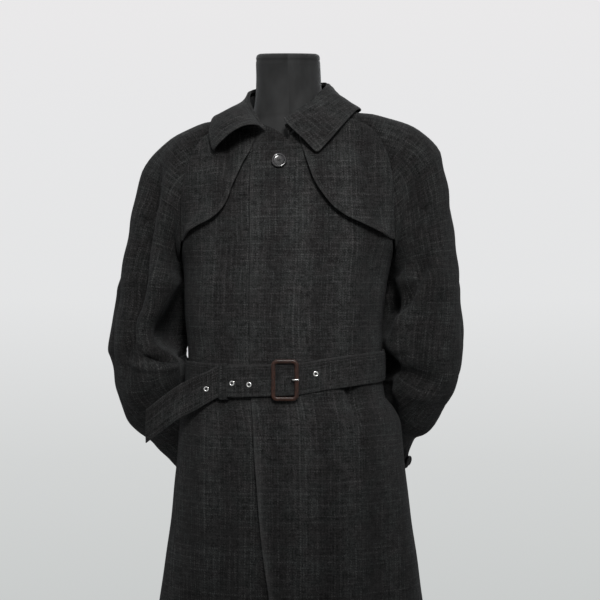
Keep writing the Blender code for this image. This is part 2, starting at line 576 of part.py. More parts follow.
fronts = {}
for name, side, edge, over in (("front_left", 1, fly_x, True),
                               ("front_right", -1, lambda z: UNDER_EDGE_X, False)):
    psi, z, lift = front_grid(side, edge, over)
    p = body(psi, z)
    fronts[name] = [psi, z, lift, p, body_normal(psi, z)]
backs = {}
for name, side in (("back_left", 1), ("back_right", -1)):
    psi, z = back_grid(side)
    backs[name] = [psi, z, 0 * z, body(psi, z), body_normal(psi, z)]
sleeves = {}
for name, side, rows in (("sleeve_left", 1, SLEEVE_LEFT), ("sleeve_right", -1, SLEEVE_RIGHT)):
    g = sleeve_grid(side, rows)
    sleeves[name] = [g, sleeve_normals(g)]
# the pieces on both sides of a raglan seam share the seam's normal
for fr, bk, sl in (("front_left", "back_left", "sleeve_left"), ("front_right", "back_right", "sleeve_right")):
    nf, nb, ns = fronts[fr][4], backs[bk][4], sleeves[sl][1]
    low = len(LOW_Z)
    for k in range(CAP_ROWS):
        row = low + CAP_ROWS - k
        m = unit(nf[row, -1] + ns[k, 0])
        nf[row, -1], ns[k, 0] = m, m
        m = unit(nb[row, 0] + ns[k, -1])
        nb[row, 0], ns[k, -1] = m, m
for name, (psi, z, lift, p, n) in {**fronts, **backs}.items():
    shell(name, p + n * lift[..., None], p + n * (lift - WALL)[..., None], TWEED)
for name, (g, n) in sleeves.items():
    shell(name, g, g - n * WALL, TWEED, wrap_from=CAP_ROWS)

# ---------------------------------------------------------------- storm flaps
FLAP_ROWS, FLAP_COLS_N = 9, 6
for name, side, rows in (("storm_flap_left", 1, FLAP_LEFT), ("storm_flap_right", -1, FLAP_RIGHT)):
    edge = along(rounded(np.array(rows), 6), np.linspace(0, 1, FLAP_ROWS + 1))
    c = columns(SEAM_FRONT, SEAM_COLS)
    k = np.linspace(0.9, 6.9, FLAP_ROWS + 1)
    idx = np.arange(len(SEAM_FRONT), dtype=float)
    sz, sp = curve(idx, c["z"])(k), np.radians(curve(idx, c["deg"])(k)) * side
    ez = edge[:, 1] - SHOULDER_LEAN * edge[:, 0] * smooth((edge[:, 1] - LEAN_FROM_Z) / (LEAN_FULL_Z - LEAN_FROM_Z))
    ep = angle_at(edge[:, 0], ez)
    u = np.linspace(0, 1, FLAP_COLS_N + 1)[None, :]
    sp = sp - side * 0.0016 / 0.19
    psi = ep[:, None] + (sp - ep)[:, None] * u
    z = ez[:, None] + (sz - ez)[:, None] * u
    along_edge = np.linspace(0, 1, FLAP_ROWS + 1)[:, None]
    rest = fly_lift(psi) if side > 0 else 0 * psi
    lift = rest + 0.0013 + WALL + FLAP_LIFT * (1 - smooth(u / 0.7)) * smooth(along_edge / 0.3) * smooth((1 - along_edge) / 0.12)
    n = body_normal(psi, z)
    p = body(psi, z)
    shell(name, p + n * lift[..., None], p + n * (lift - WALL)[..., None], TWEED)

# ---------------------------------------------------------------- collar
cs = rounded(np.array(COLLAR, float), COLLAR_STEPS)
cc = {n: cs[:, i] for i, n in enumerate(COLLAR_COLS)}
fold = np.stack([cc["fx"], cc["fy"], cc["fz"]], axis=1)
tip = np.stack([cc["ex"], cc["ey"], cc["ez"]], axis=1)
up = np.array([0.0, 0.0, 1.0])
way = unit(np.gradient(fold, axis=0))
flat_out = unit(np.stack([fold[:, 0], fold[:, 1] + 0.005, 0 * fold[:, 0]], axis=1))
chord = tip - fold
lift_dir = unit(np.cross(chord, way))
lift_dir *= np.sign(np.sum(lift_dir * (flat_out + 0.6 * up), axis=1))[:, None]
turn = np.radians([185.0, 140.0, 95.0, 55.0])
hub = fold + flat_out * COLLAR_ROLL_R
lines = [hub + COLLAR_ROLL_R * (math.cos(t) * flat_out + math.sin(t) * up) for t in turn]
start = lines[-1]
go = unit(math.sin(turn[-1]) * flat_out - math.cos(turn[-1]) * up)
length = np.linalg.norm(tip - start, axis=1)[:, None]
c1 = start + go * length * 0.22 + lift_dir * cc["bulge"][:, None] * 1.15
c2 = tip + (start - tip) * 0.34 + lift_dir * cc["bulge"][:, None]
for s in np.linspace(0, 1, 6)[1:]:
    lines.append(start * (1 - s) ** 3 + c1 * 3 * s * (1 - s) ** 2 + c2 * 3 * s**2 * (1 - s) + tip * s**3)
fall = np.stack(lines, axis=1)
n = normals(fall, np.repeat((flat_out + 0.5 * up)[:, None, :], fall.shape[1], axis=1))
n[:, 0] = unit(fall[:, 0] - hub)
n[:, 1] = unit(fall[:, 1] - hub)
shell("collar_fall", fall, fall - n * COLLAR_WALL, TWEED)

round_neck = np.abs((cc["deg"] + 180) % 360 - 180)
low = neckline(cc["deg"]) + up * (0.0008 + 0.0065 * np.exp(-(round_neck / 16.0) ** 2))[:, None]
high = fold - up * STAND_DROP
keep = (high - low)[:, 2] > 0.004
low, high, fo = low[keep], high[keep], flat_out[keep]
stand = np.stack([low + (high - low) * s for s in np.linspace(0, 1, 3)], axis=1)
shell("collar_stand", stand, stand + fo[:, None, :] * WALL, TWEED)

# ---------------------------------------------------------------- belt, keeper, buckle, eyelets
bt = np.array(BELT, float)
fine_deg = np.concatenate([np.arange(-5, -50, -5.0), np.arange(-50, -342, -8.0), np.arange(-342, -409.5, -3.5)])
order = np.arange(len(BELT), dtype=float)
pos = np.interp(-fine_deg, -bt[:, 0], order)
belt_z, belt_lift = curve(order, bt[:, 1])(pos), curve(order, bt[:, 2])(pos)
rad = np.radians(fine_deg)
ring_z = 1.02                                     # the waist is a plain cylinder here
ctr = body(rad, np.full_like(rad, ring_z))
nrm = unit(body_normal(rad, np.full_like(rad, ring_z)) * np.array([1, 1, 0]))
ctr[:, 2] = belt_z
inner_c = ctr + nrm * belt_lift[:, None]
tail = np.array(TAIL)
tail_line = rounded(np.concatenate([inner_c[-2:], tail]), 3)[4:]
tail_way = unit(np.gradient(tail_line, axis=0) * np.array([1, 1, 0]))
tail_n = unit(np.cross(tail_way, up))
tail_n *= np.sign(-tail_n[:, 1])[:, None]
centre = np.concatenate([inner_c, tail_line])
norm = np.concatenate([nrm, tail_n])
height = np.concatenate([np.full(len(ctr), BELT_H), BELT_H + (BELT_TAIL_H - BELT_H) * smooth(np.linspace(0, 1, len(tail_line)) * 2)])
edge = np.stack([centre - up * height[:, None] / 2, centre + up * height[:, None] / 2], axis=1)
shell("belt", edge + norm[:, None, :] * BELT_T, edge, TWEED)


def on_strap(x):
    """Outer face of the strap at the front, at this x: point and normal."""
    front = (centre + norm * BELT_T)[len(ctr) // 2:]
    nn = norm[len(ctr) // 2:]
    i = np.argmin(np.abs(front[:, 0] - x))
    j = i + 1 if (front[min(i + 1, len(front) - 1), 0] - x) * (front[i, 0] - x) < 0 else i - 1
    w = (x - front[i, 0]) / (front[j, 0] - front[i, 0])
    return front[i] + (front[j] - front[i]) * w, unit(nn[i] + (nn[j] - nn[i]) * w)


kp = np.radians(KEEPER_DEG)
kc = body(kp, ring_z)
kn = unit(body_normal(kp, ring_z) * np.array([1, 1, 0]))
kw = np.cross(kn, up)
kz = curve(order, bt[:, 1])(np.interp(-(KEEPER_DEG - 360), -bt[:, 0], order))
near, far = 0.0006 + KEEPER_T, 0.0083 + BELT_T + 0.0008
loop = []
hh = BELT_H / 2 + 0.0032
for d, zz, sd, sz in ((near, -hh, -1, -1), (far, -hh, 1, -1), (far, hh, 1, 1), (near, hh, -1, 1)):
    loop.append((d, zz, sd, sz))
grid = []
for d, zz, sd, sz in loop:
    sec = []
    for wd, thick in ((-1, 0), (1, 0), (1, 1), (-1, 1)):
        sec.append(kc * np.array([1, 1, 0]) + up * (kz + zz + sz * thick * KEEPER_T)
                   + kn * (d + sd * thick * KEEPER_T) + kw * wd * KEEPER_W / 2)
    grid.append(sec)
hoop("belt_keeper", grid, TWEED, 0.9)

strap_mid, _ = on_strap(BUCKLE_X)
frame_y = strap_mid[1] - 0.0008 - BUCKLE_T / 2
loop = []
corner = 0.010
for cx, cz, a0 in ((1, 1, 0), (-1, 1, 90), (-1, -1, 180), (1, -1, 270)):
    for a in np.radians(a0 + np.linspace(0, 90, 5)):
        loop.append((cx * (BUCKLE_W / 2 - corner), cz * (BUCKLE_H / 2 - corner), math.cos(a), math.sin(a)))
grid = []
for cx, cz, dx, dz in loop:
    sec = []
    for a in np.radians(np.arange(0, 360, 60) + 30):
        rr = corner - BUCKLE_BAR / 2 + BUCKLE_BAR / 2 * math.cos(a) * 1.15
        sec.append((BUCKLE_X + cx + dx * rr, frame_y + BUCKLE_T / 2 * math.sin(a), BUCKLE_Z + cz + dz * rr))
    grid.append(sec)
hoop("buckle_frame", grid, (0.075, 0.035, 0.022), 0.4)

px = BUCKLE_X + BUCKLE_W / 2
pin = np.array([(px - 0.0125, strap_mid[1] - 0.0014, BUCKLE_Z + 0.0005),
                (px - 0.0090, frame_y - BUCKLE_T / 2 - 0.0012, BUCKLE_Z + 0.0008),
                (px - 0.0030, frame_y - BUCKLE_T / 2 - 0.0017, BUCKLE_Z + 0.0011),
                (px + 0.0012, frame_y - BUCKLE_T / 2 - 0.0014, BUCKLE_Z + 0.0014)])
pin_r = (0.0009, 0.0013, 0.0013, 0.0009)
rings = []
for (c, w, r) in zip(pin, unit(np.gradient(pin, axis=0)), pin_r):
    s, u, _ = frame_of(w)
    rings.append([c + r * (math.cos(t) * s + math.sin(t) * u) for t in np.linspace(0, 2 * math.pi, 8, endpoint=False)])
loft("buckle_prong", rings, (0.6, 0.6, 0.6), 0.25, 1.0)

EYELETS = (("eyelet_1", 0.0485, 0.0042), ("eyelet_2", -0.0655, -0.0060), ("eyelet_3", -0.0950, -0.0030), ("eyelet_4", -0.1400, -0.0020))
for name, x, raised in EYELETS:
    p, nn = on_strap(x)
    p = p + up * raised
    s, u, _ = frame_of(nn)
    grid = []
    for t in np.linspace(0, 2 * math.pi, 14, endpoint=False):
        d = math.cos(t) * s + math.sin(t) * u
        grid.append([p + nn * (GAP + EYELET_WIRE * (0.7 + 0.7 * math.sin(a))) + d * (EYELET_R + EYELET_WIRE * 1.3 * math.cos(a))
                     for a in np.radians(np.arange(0, 360, 60))])
    hoop(name, grid, (0.7, 0.7, 0.68), 0.25, 1.0)

# ---------------------------------------------------------------- buttons
BUTTON_X, BUTTON_Z = -0.0145, 1.3878
bp = angle_at(BUTTON_X, BUTTON_Z)
face = body(bp, BUTTON_Z)
fn = body_normal(bp, BUTTON_Z)
BUTTON_PROFILE = [(0.72, 0.0), (0.97, 0.25), (1.0, 0.55), (0.95, 0.90), (0.84, 1.0), (0.70, 0.82), (0.30, 0.76)]
turned("button_front", face + fn * (FLY_LIFT + 0.0012), fn,
       [(r * BUTTON_R, h * BUTTON_T) for r, h in BUTTON_PROFILE], 20, (0.012, 0.012, 0.012), 0.2)
for name, rows, turned_back in (("button_cuff_left", "sleeve_left", 0), ("button_cuff_right", "sleeve_right", 3)):
    g, gn = sleeves[rows]
    r, c = g.shape[0] - 2, SLEEVE_COLS_N // 2 + turned_back
    turned(name, g[r, c] + gn[r, c] * 0.0014, gn[r, c],
           [(q * CUFF_BUTTON_R, h * 0.0040) for q, h in BUTTON_PROFILE], 14, (0.012, 0.012, 0.012), 0.2)

# ---------------------------------------------------------------- form and stand
rings = []
for z in columns(FORM, FORM_COLS)["z"]:
    psi = np.linspace(0, 2 * math.pi, FORM_SIDES, endpoint=False)
    r = ring_r(form_t, psi, np.full_like(psi, z))
    p = np.stack([form_t["xc"](z) + r * np.sin(psi), -r * np.cos(psi), np.full_like(psi, z)], axis=1)
    w = smooth((1.56 - z) / 0.10)                  # the neck's top stays level
    rings.append(p * (1 - w) + lean(p) * w)
loft("dress_form", rings, FORM_BLACK, 0.85)
turned("stand_base", (0, 0, 0), (0, 0, 1),
       [(BASE_R - 0.002, 0.0), (BASE_R, 0.002), (BASE_R, BASE_T - 0.004), (BASE_R - 0.005, BASE_T), (0.040, BASE_T + 0.004),
        (0.024, BASE_T + 0.020), (POLE_R + 0.004, BASE_T + 0.026)], 36, (0.03, 0.03, 0.03), 0.45, 0.6)
turned("stand_pole", (0, 0, 0), (0, 0, 1),
       [(POLE_R, BASE_T + 0.026 + GAP), (POLE_R, FORM_FOOT_Z - 0.040), (0.026, FORM_FOOT_Z - 0.030),
        (0.026, FORM_FOOT_Z - GAP)], 24, (0.45, 0.45, 0.45), 0.3, 1.0)

lo, hi = np.full(3, 9.0), np.full(3, -9.0)
tris = 0
for ob in bpy.data.objects:
    co = np.array([v.co for v in ob.data.vertices])
    lo, hi = np.minimum(lo, co.min(0)), np.maximum(hi, co.max(0))
    own = sum(len(f.vertices) - 2 for f in ob.data.polygons)
    tris += own
    print(ob.name, own)
print("box", lo.round(4), hi.round(4), "centre", ((lo + hi) / 2).round(4), "triangles", tris)
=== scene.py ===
# Looks of a belted raglan coat in dark check tweed on a covered dress form with a pole stand.
# Metres, +Z up, the front faces -Y, wearer's left is +X, the floor is Z = 0.
import math

import bpy
import numpy as np
from mathutils import Matrix


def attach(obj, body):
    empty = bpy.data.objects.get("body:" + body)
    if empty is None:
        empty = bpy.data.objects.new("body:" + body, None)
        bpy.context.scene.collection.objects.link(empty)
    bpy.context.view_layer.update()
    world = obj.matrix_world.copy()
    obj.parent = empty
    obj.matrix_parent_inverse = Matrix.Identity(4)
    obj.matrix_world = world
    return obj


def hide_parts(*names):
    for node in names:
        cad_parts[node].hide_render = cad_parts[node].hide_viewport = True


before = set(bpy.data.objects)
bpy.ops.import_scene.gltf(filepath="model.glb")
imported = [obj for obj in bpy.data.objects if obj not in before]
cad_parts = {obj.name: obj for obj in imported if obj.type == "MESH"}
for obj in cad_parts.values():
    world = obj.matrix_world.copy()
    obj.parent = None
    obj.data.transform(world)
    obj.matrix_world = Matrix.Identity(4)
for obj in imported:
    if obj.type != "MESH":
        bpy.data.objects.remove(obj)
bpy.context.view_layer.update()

# ---------------------------------------------------------------- sizes, as in the part's source
WALL = 0.0020
GAP = 0.0003
FLY_LIFT = 0.0036
COLLAR_WALL = 0.0024
HEM_Z = 0.400
UNDERARM_Z = 1.215
NECK_FRONT_Z = 1.4225
NECK_BACK_Z = 1.500
NECK_HALF_W = 0.072
NECK_FRONT_Y = -0.098
NECK_BACK_Y = 0.080
NECK_RISE_POWER = 0.6
UNDER_EDGE_X = 0.030
SHOULDER_LEAN = 0.054
LEAN_FROM_Z, LEAN_FULL_Z = 1.18, 1.40
BELT_H = 0.053
BELT_T = 0.0028
BELT_TAIL_H = 0.058
BUCKLE_W, BUCKLE_H, BUCKLE_BAR, BUCKLE_T = 0.046, 0.070, 0.0062, 0.0046
BUCKLE_X, BUCKLE_Z = -0.0040, 1.0125
BUTTON_R, BUTTON_T = 0.0134, 0.0046
CUFF_BUTTON_R = 0.0098
EYELET_R, EYELET_WIRE = 0.0034, 0.0009
BASE_R, BASE_T = 0.190, 0.012
POLE_R = 0.0125
NECK_CAP_SLOPE = 0.145
FORM_FOOT_Z = 0.800
PLAN_SHIFT = np.array([0.0030, -0.0037, 0.0])

BODY_COLS = ("z", "xc", "a", "front", "back", "n")
BODY = [
    (0.400, 0.006, 0.262, 0.190, 0.188, 2.10),
    (0.609, 0.0065, 0.2365, 0.172, 0.168, 2.15),
    (0.850, 0.005, 0.205, 0.152, 0.145, 2.20),
    (0.930, 0.004, 0.199, 0.146, 0.137, 2.20),
    (0.958, 0.001, 0.188, 0.137, 0.128, 2.25),
    (0.978, -0.003, 0.1765, 0.1280, 0.1185, 2.30),
    (1.064, -0.006, 0.1735, 0.1275, 0.1175, 2.30),
    (1.100, -0.007, 0.1755, 0.1325, 0.1215, 2.35),
    (1.149, -0.006, 0.1800, 0.1365, 0.1250, 2.40),
    (1.215, -0.002, 0.1870, 0.1385, 0.1265, 2.40),
    (1.250, 0.000, 0.2024, 0.1370, 0.1275, 2.40),
    (1.300, 0.000, 0.2131, 0.1320, 0.1270, 2.40),
    (1.345, 0.000, 0.2242, 0.1220, 0.1230, 2.40),
    (1.376, 0.000, 0.2201, 0.1150, 0.1180, 2.40),
    (1.400, 0.000, 0.2128, 0.1070, 0.1130, 2.40),
    (1.436, 0.000, 0.1906, 0.0950, 0.1030, 2.40),
    (1.460, 0.000, 0.1448, 0.0870, 0.0960, 2.40),
    (1.475, 0.000, 0.0860, 0.0800, 0.0910, 2.40),
    (1.493, 0.000, 0.0720, 0.0760, 0.0840, 2.40),
    (1.505, 0.000, 0.0700, 0.0740, 0.0780, 2.40),
]
SEAM_COLS = ("z", "deg")
SEAM_FRONT = [(1.4735, 52.0), (1.460, 60.0), (1.436, 66.5), (1.400, 67.0), (1.376, 66.5),
              (1.345, 66.0), (1.300, 67.0), (1.250, 70.0), (1.228, 79.0), (1.215, 90.0)]
SEAM_BACK = [(1.4930, 117.5), (1.470, 118.0), (1.440, 116.0), (1.400, 114.5), (1.345, 113.0),
             (1.300, 112.0), (1.250, 109.0), (1.228, 101.0), (1.215, 90.0)]
RIDGE = [(0.074, -0.009, 1.486), (0.108, 0.000, 1.4815), (0.130, 0.003, 1.4765), (0.150, 0.005, 1.4745), (0.171, 0.007, 1.4675),
         (0.203, 0.009, 1.4530), (0.230, 0.011, 1.4340), (0.248, 0.012, 1.4155), (0.261, 0.013, 1.394),
         (0.270, 0.014, 1.366), (0.279, 0.015, 1.331), (0.288, 0.015, 1.280), (0.297, 0.015, 1.222)]
UNDERARM_FRONT_D, UNDERARM_BACK_D = 0.078, 0.085
SHOULDER_OUT_LEFT, SHOULDER_OUT_RIGHT = (0.016, 0.0085), (0.003, 0.0)
# sleeve sections: inner point, outer point, depth in front and behind, how hollow the inner side is, edge of the front lobe;
# the depth in front is taken from the lobe's edge where there is a hollow
SLEEVE_COLS = ("ix", "iy", "iz", "rx", "ry", "rz", "front", "back", "hollow", "lx", "ly")
SLEEVE_LEFT = [
    (0.1760, 0.058, 1.184, 0.3085, 0.015, 1.184, 0.084, 0.081, 0.60, 0.1950, -0.036),
    (0.1720, 0.064, 1.152, 0.3100, 0.015, 1.150, 0.081, 0.078, 0.90, 0.2010, -0.034),
    (0.1680, 0.076, 1.126, 0.3110, 0.013, 1.120, 0.079, 0.077, 0.95, 0.1990, -0.034),
    (0.1660, 0.082, 1.100, 0.3115, 0.012, 1.092, 0.076, 0.076, 0.95, 0.1850, -0.034),
    (0.1640, 0.082, 1.074, 0.3120, 0.010, 1.056, 0.073, 0.080, 0.95, 0.1740, -0.032),
    (0.1700, 0.060, 1.040, 0.3085, 0.020, 1.016, 0.070, 0.080, 0.90, 0.2040, -0.016),
    (0.1700, 0.064, 1.010, 0.2930, 0.032, 0.972, 0.058, 0.068, 0.60, 0.1870, -0.002),
    (0.1730, 0.082, 0.986, 0.2710, 0.062, 0.926, 0.046, 0.060, 0.34, 0.2000, 0.026),
    (0.174, 0.116, 0.952, 0.242, 0.114, 0.893, 0.038, 0.044, 0.00, 0.20, 0.10),
    (0.130, 0.150, 0.905, 0.230, 0.156, 0.862, 0.030, 0.036, 0.00, 0.18, 0.13),
    (0.110, 0.166, 0.868, 0.229, 0.172, 0.831, 0.030, 0.034, 0.00, 0.17, 0.14),
]
SLEEVE_RIGHT = [
    (-0.1800, 0.066, 1.182, -0.3015, 0.015, 1.182, 0.084, 0.081, 0.60, -0.1925, -0.036),
    (-0.1780, 0.080, 1.150, -0.3045, 0.015, 1.150, 0.081, 0.078, 1.00, -0.2075, -0.034),
    (-0.1780, 0.096, 1.108, -0.3110, 0.012, 1.103, 0.077, 0.076, 1.00, -0.2345, -0.034),
    (-0.1855, 0.104, 1.076, -0.3140, 0.010, 1.066, 0.071, 0.080, 1.00, -0.2325, -0.034),
    (-0.1905, 0.078, 1.048, -0.3140, 0.014, 1.038, 0.068, 0.080, 0.45, -0.1980, -0.026),
    (-0.1740, 0.066, 1.020, -0.3105, 0.020, 0.992, 0.060, 0.074, 0.70, -0.1940, -0.010),
    (-0.1800, 0.082, 0.990, -0.3015, 0.042, 0.948, 0.038, 0.066, 0.20, -0.20, 0.01),
    (-0.184, 0.106, 0.955, -0.2850, 0.076, 0.912, 0.040, 0.052, 0.00, -0.20, 0.05),
    (-0.156, 0.138, 0.912, -0.256, 0.118, 0.882, 0.034, 0.042, 0.00, -0.18, 0.10),
    (-0.120, 0.160, 0.876, -0.226, 0.156, 0.844, 0.030, 0.036, 0.00, -0.16, 0.13),
    (-0.106, 0.168, 0.862, -0.213, 0.166, 0.829, 0.030, 0.034, 0.00, -0.15, 0.14),
]
LOBE_SPLIT = 0.36        # where the lobe's edge lies along the front half of a section
HOLLOW_REACH = 0.012     # how far the hollow runs outwards behind the lobe's edge
LOBE_BACK, LOBE_IN = 0.034, 0.007
SLEEVE_FULL = 0.76
FLY_COLS = ("z", "x")
FLY = [(0.400, 0.000), (0.644, -0.0290), (0.744, -0.0425), (0.845, -0.0511), (0.945, -0.0583),
       (1.000, -0.0625), (1.150, -0.0636), (1.360, -0.0632), (1.400, -0.0600), (1.425, -0.0560)]
FLAP_LEFT = [(0.020, 1.432), (0.0268, 1.4068), (0.0405, 1.3638), (0.0525, 1.338), (0.0731, 1.3105),
             (0.0989, 1.2916), (0.1333, 1.2762), (0.1800, 1.2560)]
FLAP_RIGHT = [(-0.0575, 1.4285), (-0.0665, 1.4020), (-0.0800, 1.3740), (-0.0925, 1.3440), (-0.1050, 1.3110),
              (-0.1255, 1.2895), (-0.1545, 1.2745), (-0.1800, 1.2560)]
FLAP_LIFT = 0.0120
COLLAR_COLS = ("deg", "fx", "fy", "fz", "ex", "ey", "ez", "bulge")
COLLAR = [
    (-24, -0.0405, -0.0975, 1.4430, -0.1300, -0.1080, 1.4060, 0.050),
    (-42, -0.0580, -0.0810, 1.4720, -0.1385, -0.0780, 1.4395, 0.030),
    (-64, -0.0670, -0.0460, 1.4950, -0.1345, -0.0420, 1.4710, 0.006),
    (-92, -0.0680, -0.0020, 1.5135, -0.1240, 0.0060, 1.4820, -0.009),
    (-128, -0.0600, 0.0460, 1.5300, -0.0960, 0.0720, 1.4720, -0.002),
    (-180, 0.0000, 0.0860, 1.5420, 0.0000, 0.1080, 1.4700, 0.008),
    (-232, 0.0610, 0.0460, 1.5420, 0.0980, 0.0720, 1.4840, 0.004),
    (-268, 0.0690, -0.0020, 1.5320, 0.1300, 0.0020, 1.4905, -0.004),
    (-302, 0.0600, -0.0400, 1.5160, 0.1220, -0.0560, 1.4855, 0.004),
    (-328, 0.0400, -0.0680, 1.4930, 0.0990, -0.0960, 1.4580, 0.007),
    (-345, 0.0180, -0.0840, 1.4760, 0.0750, -0.1190, 1.4290, 0.006),
    (-358, -0.0044, -0.0950, 1.4600, 0.0508, -0.1320, 1.4014, 0.005),
]
COLLAR_CORNER_R = 0.0065
COLLAR_ROLL_R = 0.0042
STAND_DROP = 0.0075
BELT_COLS = ("deg", "z", "lift")
BELT = [
    (-5.0, 1.0125, 0.0050), (-20, 1.0115, 0.0050), (-35, 1.0118, 0.0048), (-42, 1.0120, 0.0040), (-70, 1.0140, 0.0030),
    (-100, 1.0180, 0.0028), (-180, 1.0290, 0.0028), (-265, 1.0330, 0.0028), (-300, 1.0300, 0.0036),
    (-330, 1.0220, 0.0050), (-346, 1.0155, 0.0054), (-353, 1.0130, 0.0080), (-362, 1.0125, 0.0083),
    (-380, 1.0110, 0.0083), (-395, 1.0095, 0.0083), (-402, 1.0090, 0.0076), (-409, 1.0075, 0.0078),
]
TAIL = [(-0.1370, -0.1080, 0.9990), (-0.1550, -0.1055, 0.9895), (-0.1864, -0.0985, 0.9735),
        (-0.2132, -0.0920, 0.9545), (-0.2460, -0.0820, 0.9290)]
KEEPER_DEG, KEEPER_W, KEEPER_T = -42.5, 0.0155, 0.0018
FORM_COLS = ("z", "xc", "a", "front", "back", "n")
FORM = [
    (0.800, 0.003, 0.118, 0.084, 0.078, 2.1), (0.806, 0.003, 0.138, 0.100, 0.094, 2.1),
    (0.830, 0.003, 0.151, 0.110, 0.103, 2.1), (0.900, 0.002, 0.155, 0.112, 0.105, 2.1),
    (0.960, -0.001, 0.149, 0.106, 0.098, 2.1), (1.020, -0.004, 0.142, 0.100, 0.091, 2.1),
    (1.080, -0.005, 0.146, 0.105, 0.095, 2.1), (1.150, -0.004, 0.157, 0.115, 0.105, 2.2),
    (1.230, -0.001, 0.166, 0.118, 0.110, 2.2), (1.300, 0.000, 0.174, 0.111, 0.109, 2.2),
    (1.345, 0.000, 0.180, 0.099, 0.103, 2.2), (1.380, 0.000, 0.181, 0.086, 0.095, 2.2),
    (1.405, 0.000, 0.172, 0.076, 0.087, 2.2), (1.425, 0.000, 0.150, 0.069, 0.080, 2.1),
    (1.440, 0.001, 0.122, 0.064, 0.075, 2.1), (1.455, 0.002, 0.094, 0.0605, 0.071, 2.0),
    (1.470, 0.002, 0.074, 0.0585, 0.068, 2.0), (1.490, 0.002, 0.0645, 0.0570, 0.066, 2.0),
    (1.515, 0.0015, 0.0600, 0.0560, 0.0635, 2.0), (1.550, 0.001, 0.0582, 0.0555, 0.0615, 2.0),
    (1.583, 0.000, 0.0576, 0.0550, 0.0605, 2.0), (1.589, 0.000, 0.0560, 0.0532, 0.0588, 2.0),
    (1.592, 0.000, 0.0510, 0.0480, 0.0530, 2.0),
]

# ---------------------------------------------------------------- folds
# a fold is a soft ridge (depth > 0) or trough (depth < 0) along a bent line in front (F) or behind (B)
FOLD_COLS = ("face", "x0", "z0", "x1", "z1", "x2", "z2", "width", "depth")
BODY_FOLDS = [
    # chest, above the belt
    ("F", -0.128, 1.275, -0.138, 1.16, -0.140, 1.055, 0.022, 0.0050),
    ("F", -0.086, 1.330, -0.090, 1.18, -0.094, 1.060, 0.020, -0.0045),
    ("F", -0.050, 1.180, -0.046, 1.12, -0.040, 1.055, 0.018, 0.0022),
    ("F", -0.019, 1.345, -0.020, 1.30, -0.021, 1.250, 0.011, -0.0022),
    ("F", 0.068, 1.300, 0.066, 1.18, 0.064, 1.060, 0.020, -0.0042),
    ("F", 0.108, 1.290, 0.114, 1.17, 0.112, 1.060, 0.020, 0.0048),
    ("F", 0.148, 1.240, 0.146, 1.15, 0.142, 1.060, 0.013, -0.0034),
    ("F", 0.018, 1.150, 0.016, 1.10, 0.014, 1.056, 0.016, 0.0020),
    # skirt, below the belt
    ("F", 0.096, 1.030, 0.108, 0.990, 0.132, 0.925, 0.009, -0.0160),
    ("F", 0.128, 0.990, 0.138, 0.945, 0.148, 0.860, 0.016, 0.0040),
    ("F", 0.070, 0.970, 0.074, 0.850, 0.086, 0.640, 0.028, 0.0040),
    ("F", 0.034, 0.980, 0.036, 0.880, 0.050, 0.700, 0.020, -0.0035),
    ("F", -0.090, 0.980, -0.098, 0.860, -0.112, 0.640, 0.024, -0.0045),
    ("F", -0.128, 0.975, -0.142, 0.850, -0.160, 0.600, 0.026, 0.0050),
    ("F", 0.150, 0.800, 0.160, 0.650, 0.172, 0.420, 0.030, -0.0060),
    # back
    ("B", -0.040, 1.300, -0.046, 1.17, -0.050, 1.062, 0.022, 0.0050),
    ("B", -0.004, 1.220, -0.002, 1.14, 0.000, 1.064, 0.016, -0.0045),
    ("B", 0.046, 1.310, 0.052, 1.17, 0.056, 1.066, 0.022, 0.0052),
    ("B", 0.092, 1.260, 0.096, 1.16, 0.098, 1.068, 0.018, -0.0048),
    ("B", -0.090, 1.280, -0.096, 1.16, -0.098, 1.062, 0.018, -0.0046),
    ("B", 0.130, 1.240, 0.132, 1.15, 0.130, 1.070, 0.015, 0.0040),
    ("B", -0.132, 1.240, -0.132, 1.15, -0.130, 1.062, 0.015, 0.0038),
    ("B", -0.034, 0.985, -0.044, 0.85, -0.060, 0.560, 0.026, 0.0060),
    ("B", 0.010, 0.985, 0.012, 0.86, 0.018, 0.560, 0.022, -0.0060),
    ("B", 0.062, 0.985, 0.074, 0.84, 0.094, 0.520, 0.028, 0.0062),
    ("B", 0.112, 0.985, 0.128, 0.86, 0.150, 0.600, 0.022, -0.0055),
    ("B", -0.088, 0.985, -0.104, 0.85, -0.128, 0.560, 0.024, -0.0058),
    ("B", -0.124, 0.985, -0.146, 0.87, -0.176, 0.660, 0.022, 0.0046),
]
# drapes of the chest and the storm flaps under the collar
UPPER_FOLDS = [
    ("F", -0.111, 1.442, -0.105, 1.405, -0.098, 1.345, 0.013, -0.0125),
    ("F", -0.128, 1.425, -0.124, 1.385, -0.120, 1.330, 0.012, 0.0040),
    ("F", 0.1150, 1.442, 0.128, 1.395, 0.150, 1.330, 0.010, -0.0070),
    ("F", 0.0980, 1.420, 0.106, 1.385, 0.120, 1.325, 0.012, 0.0035),
]
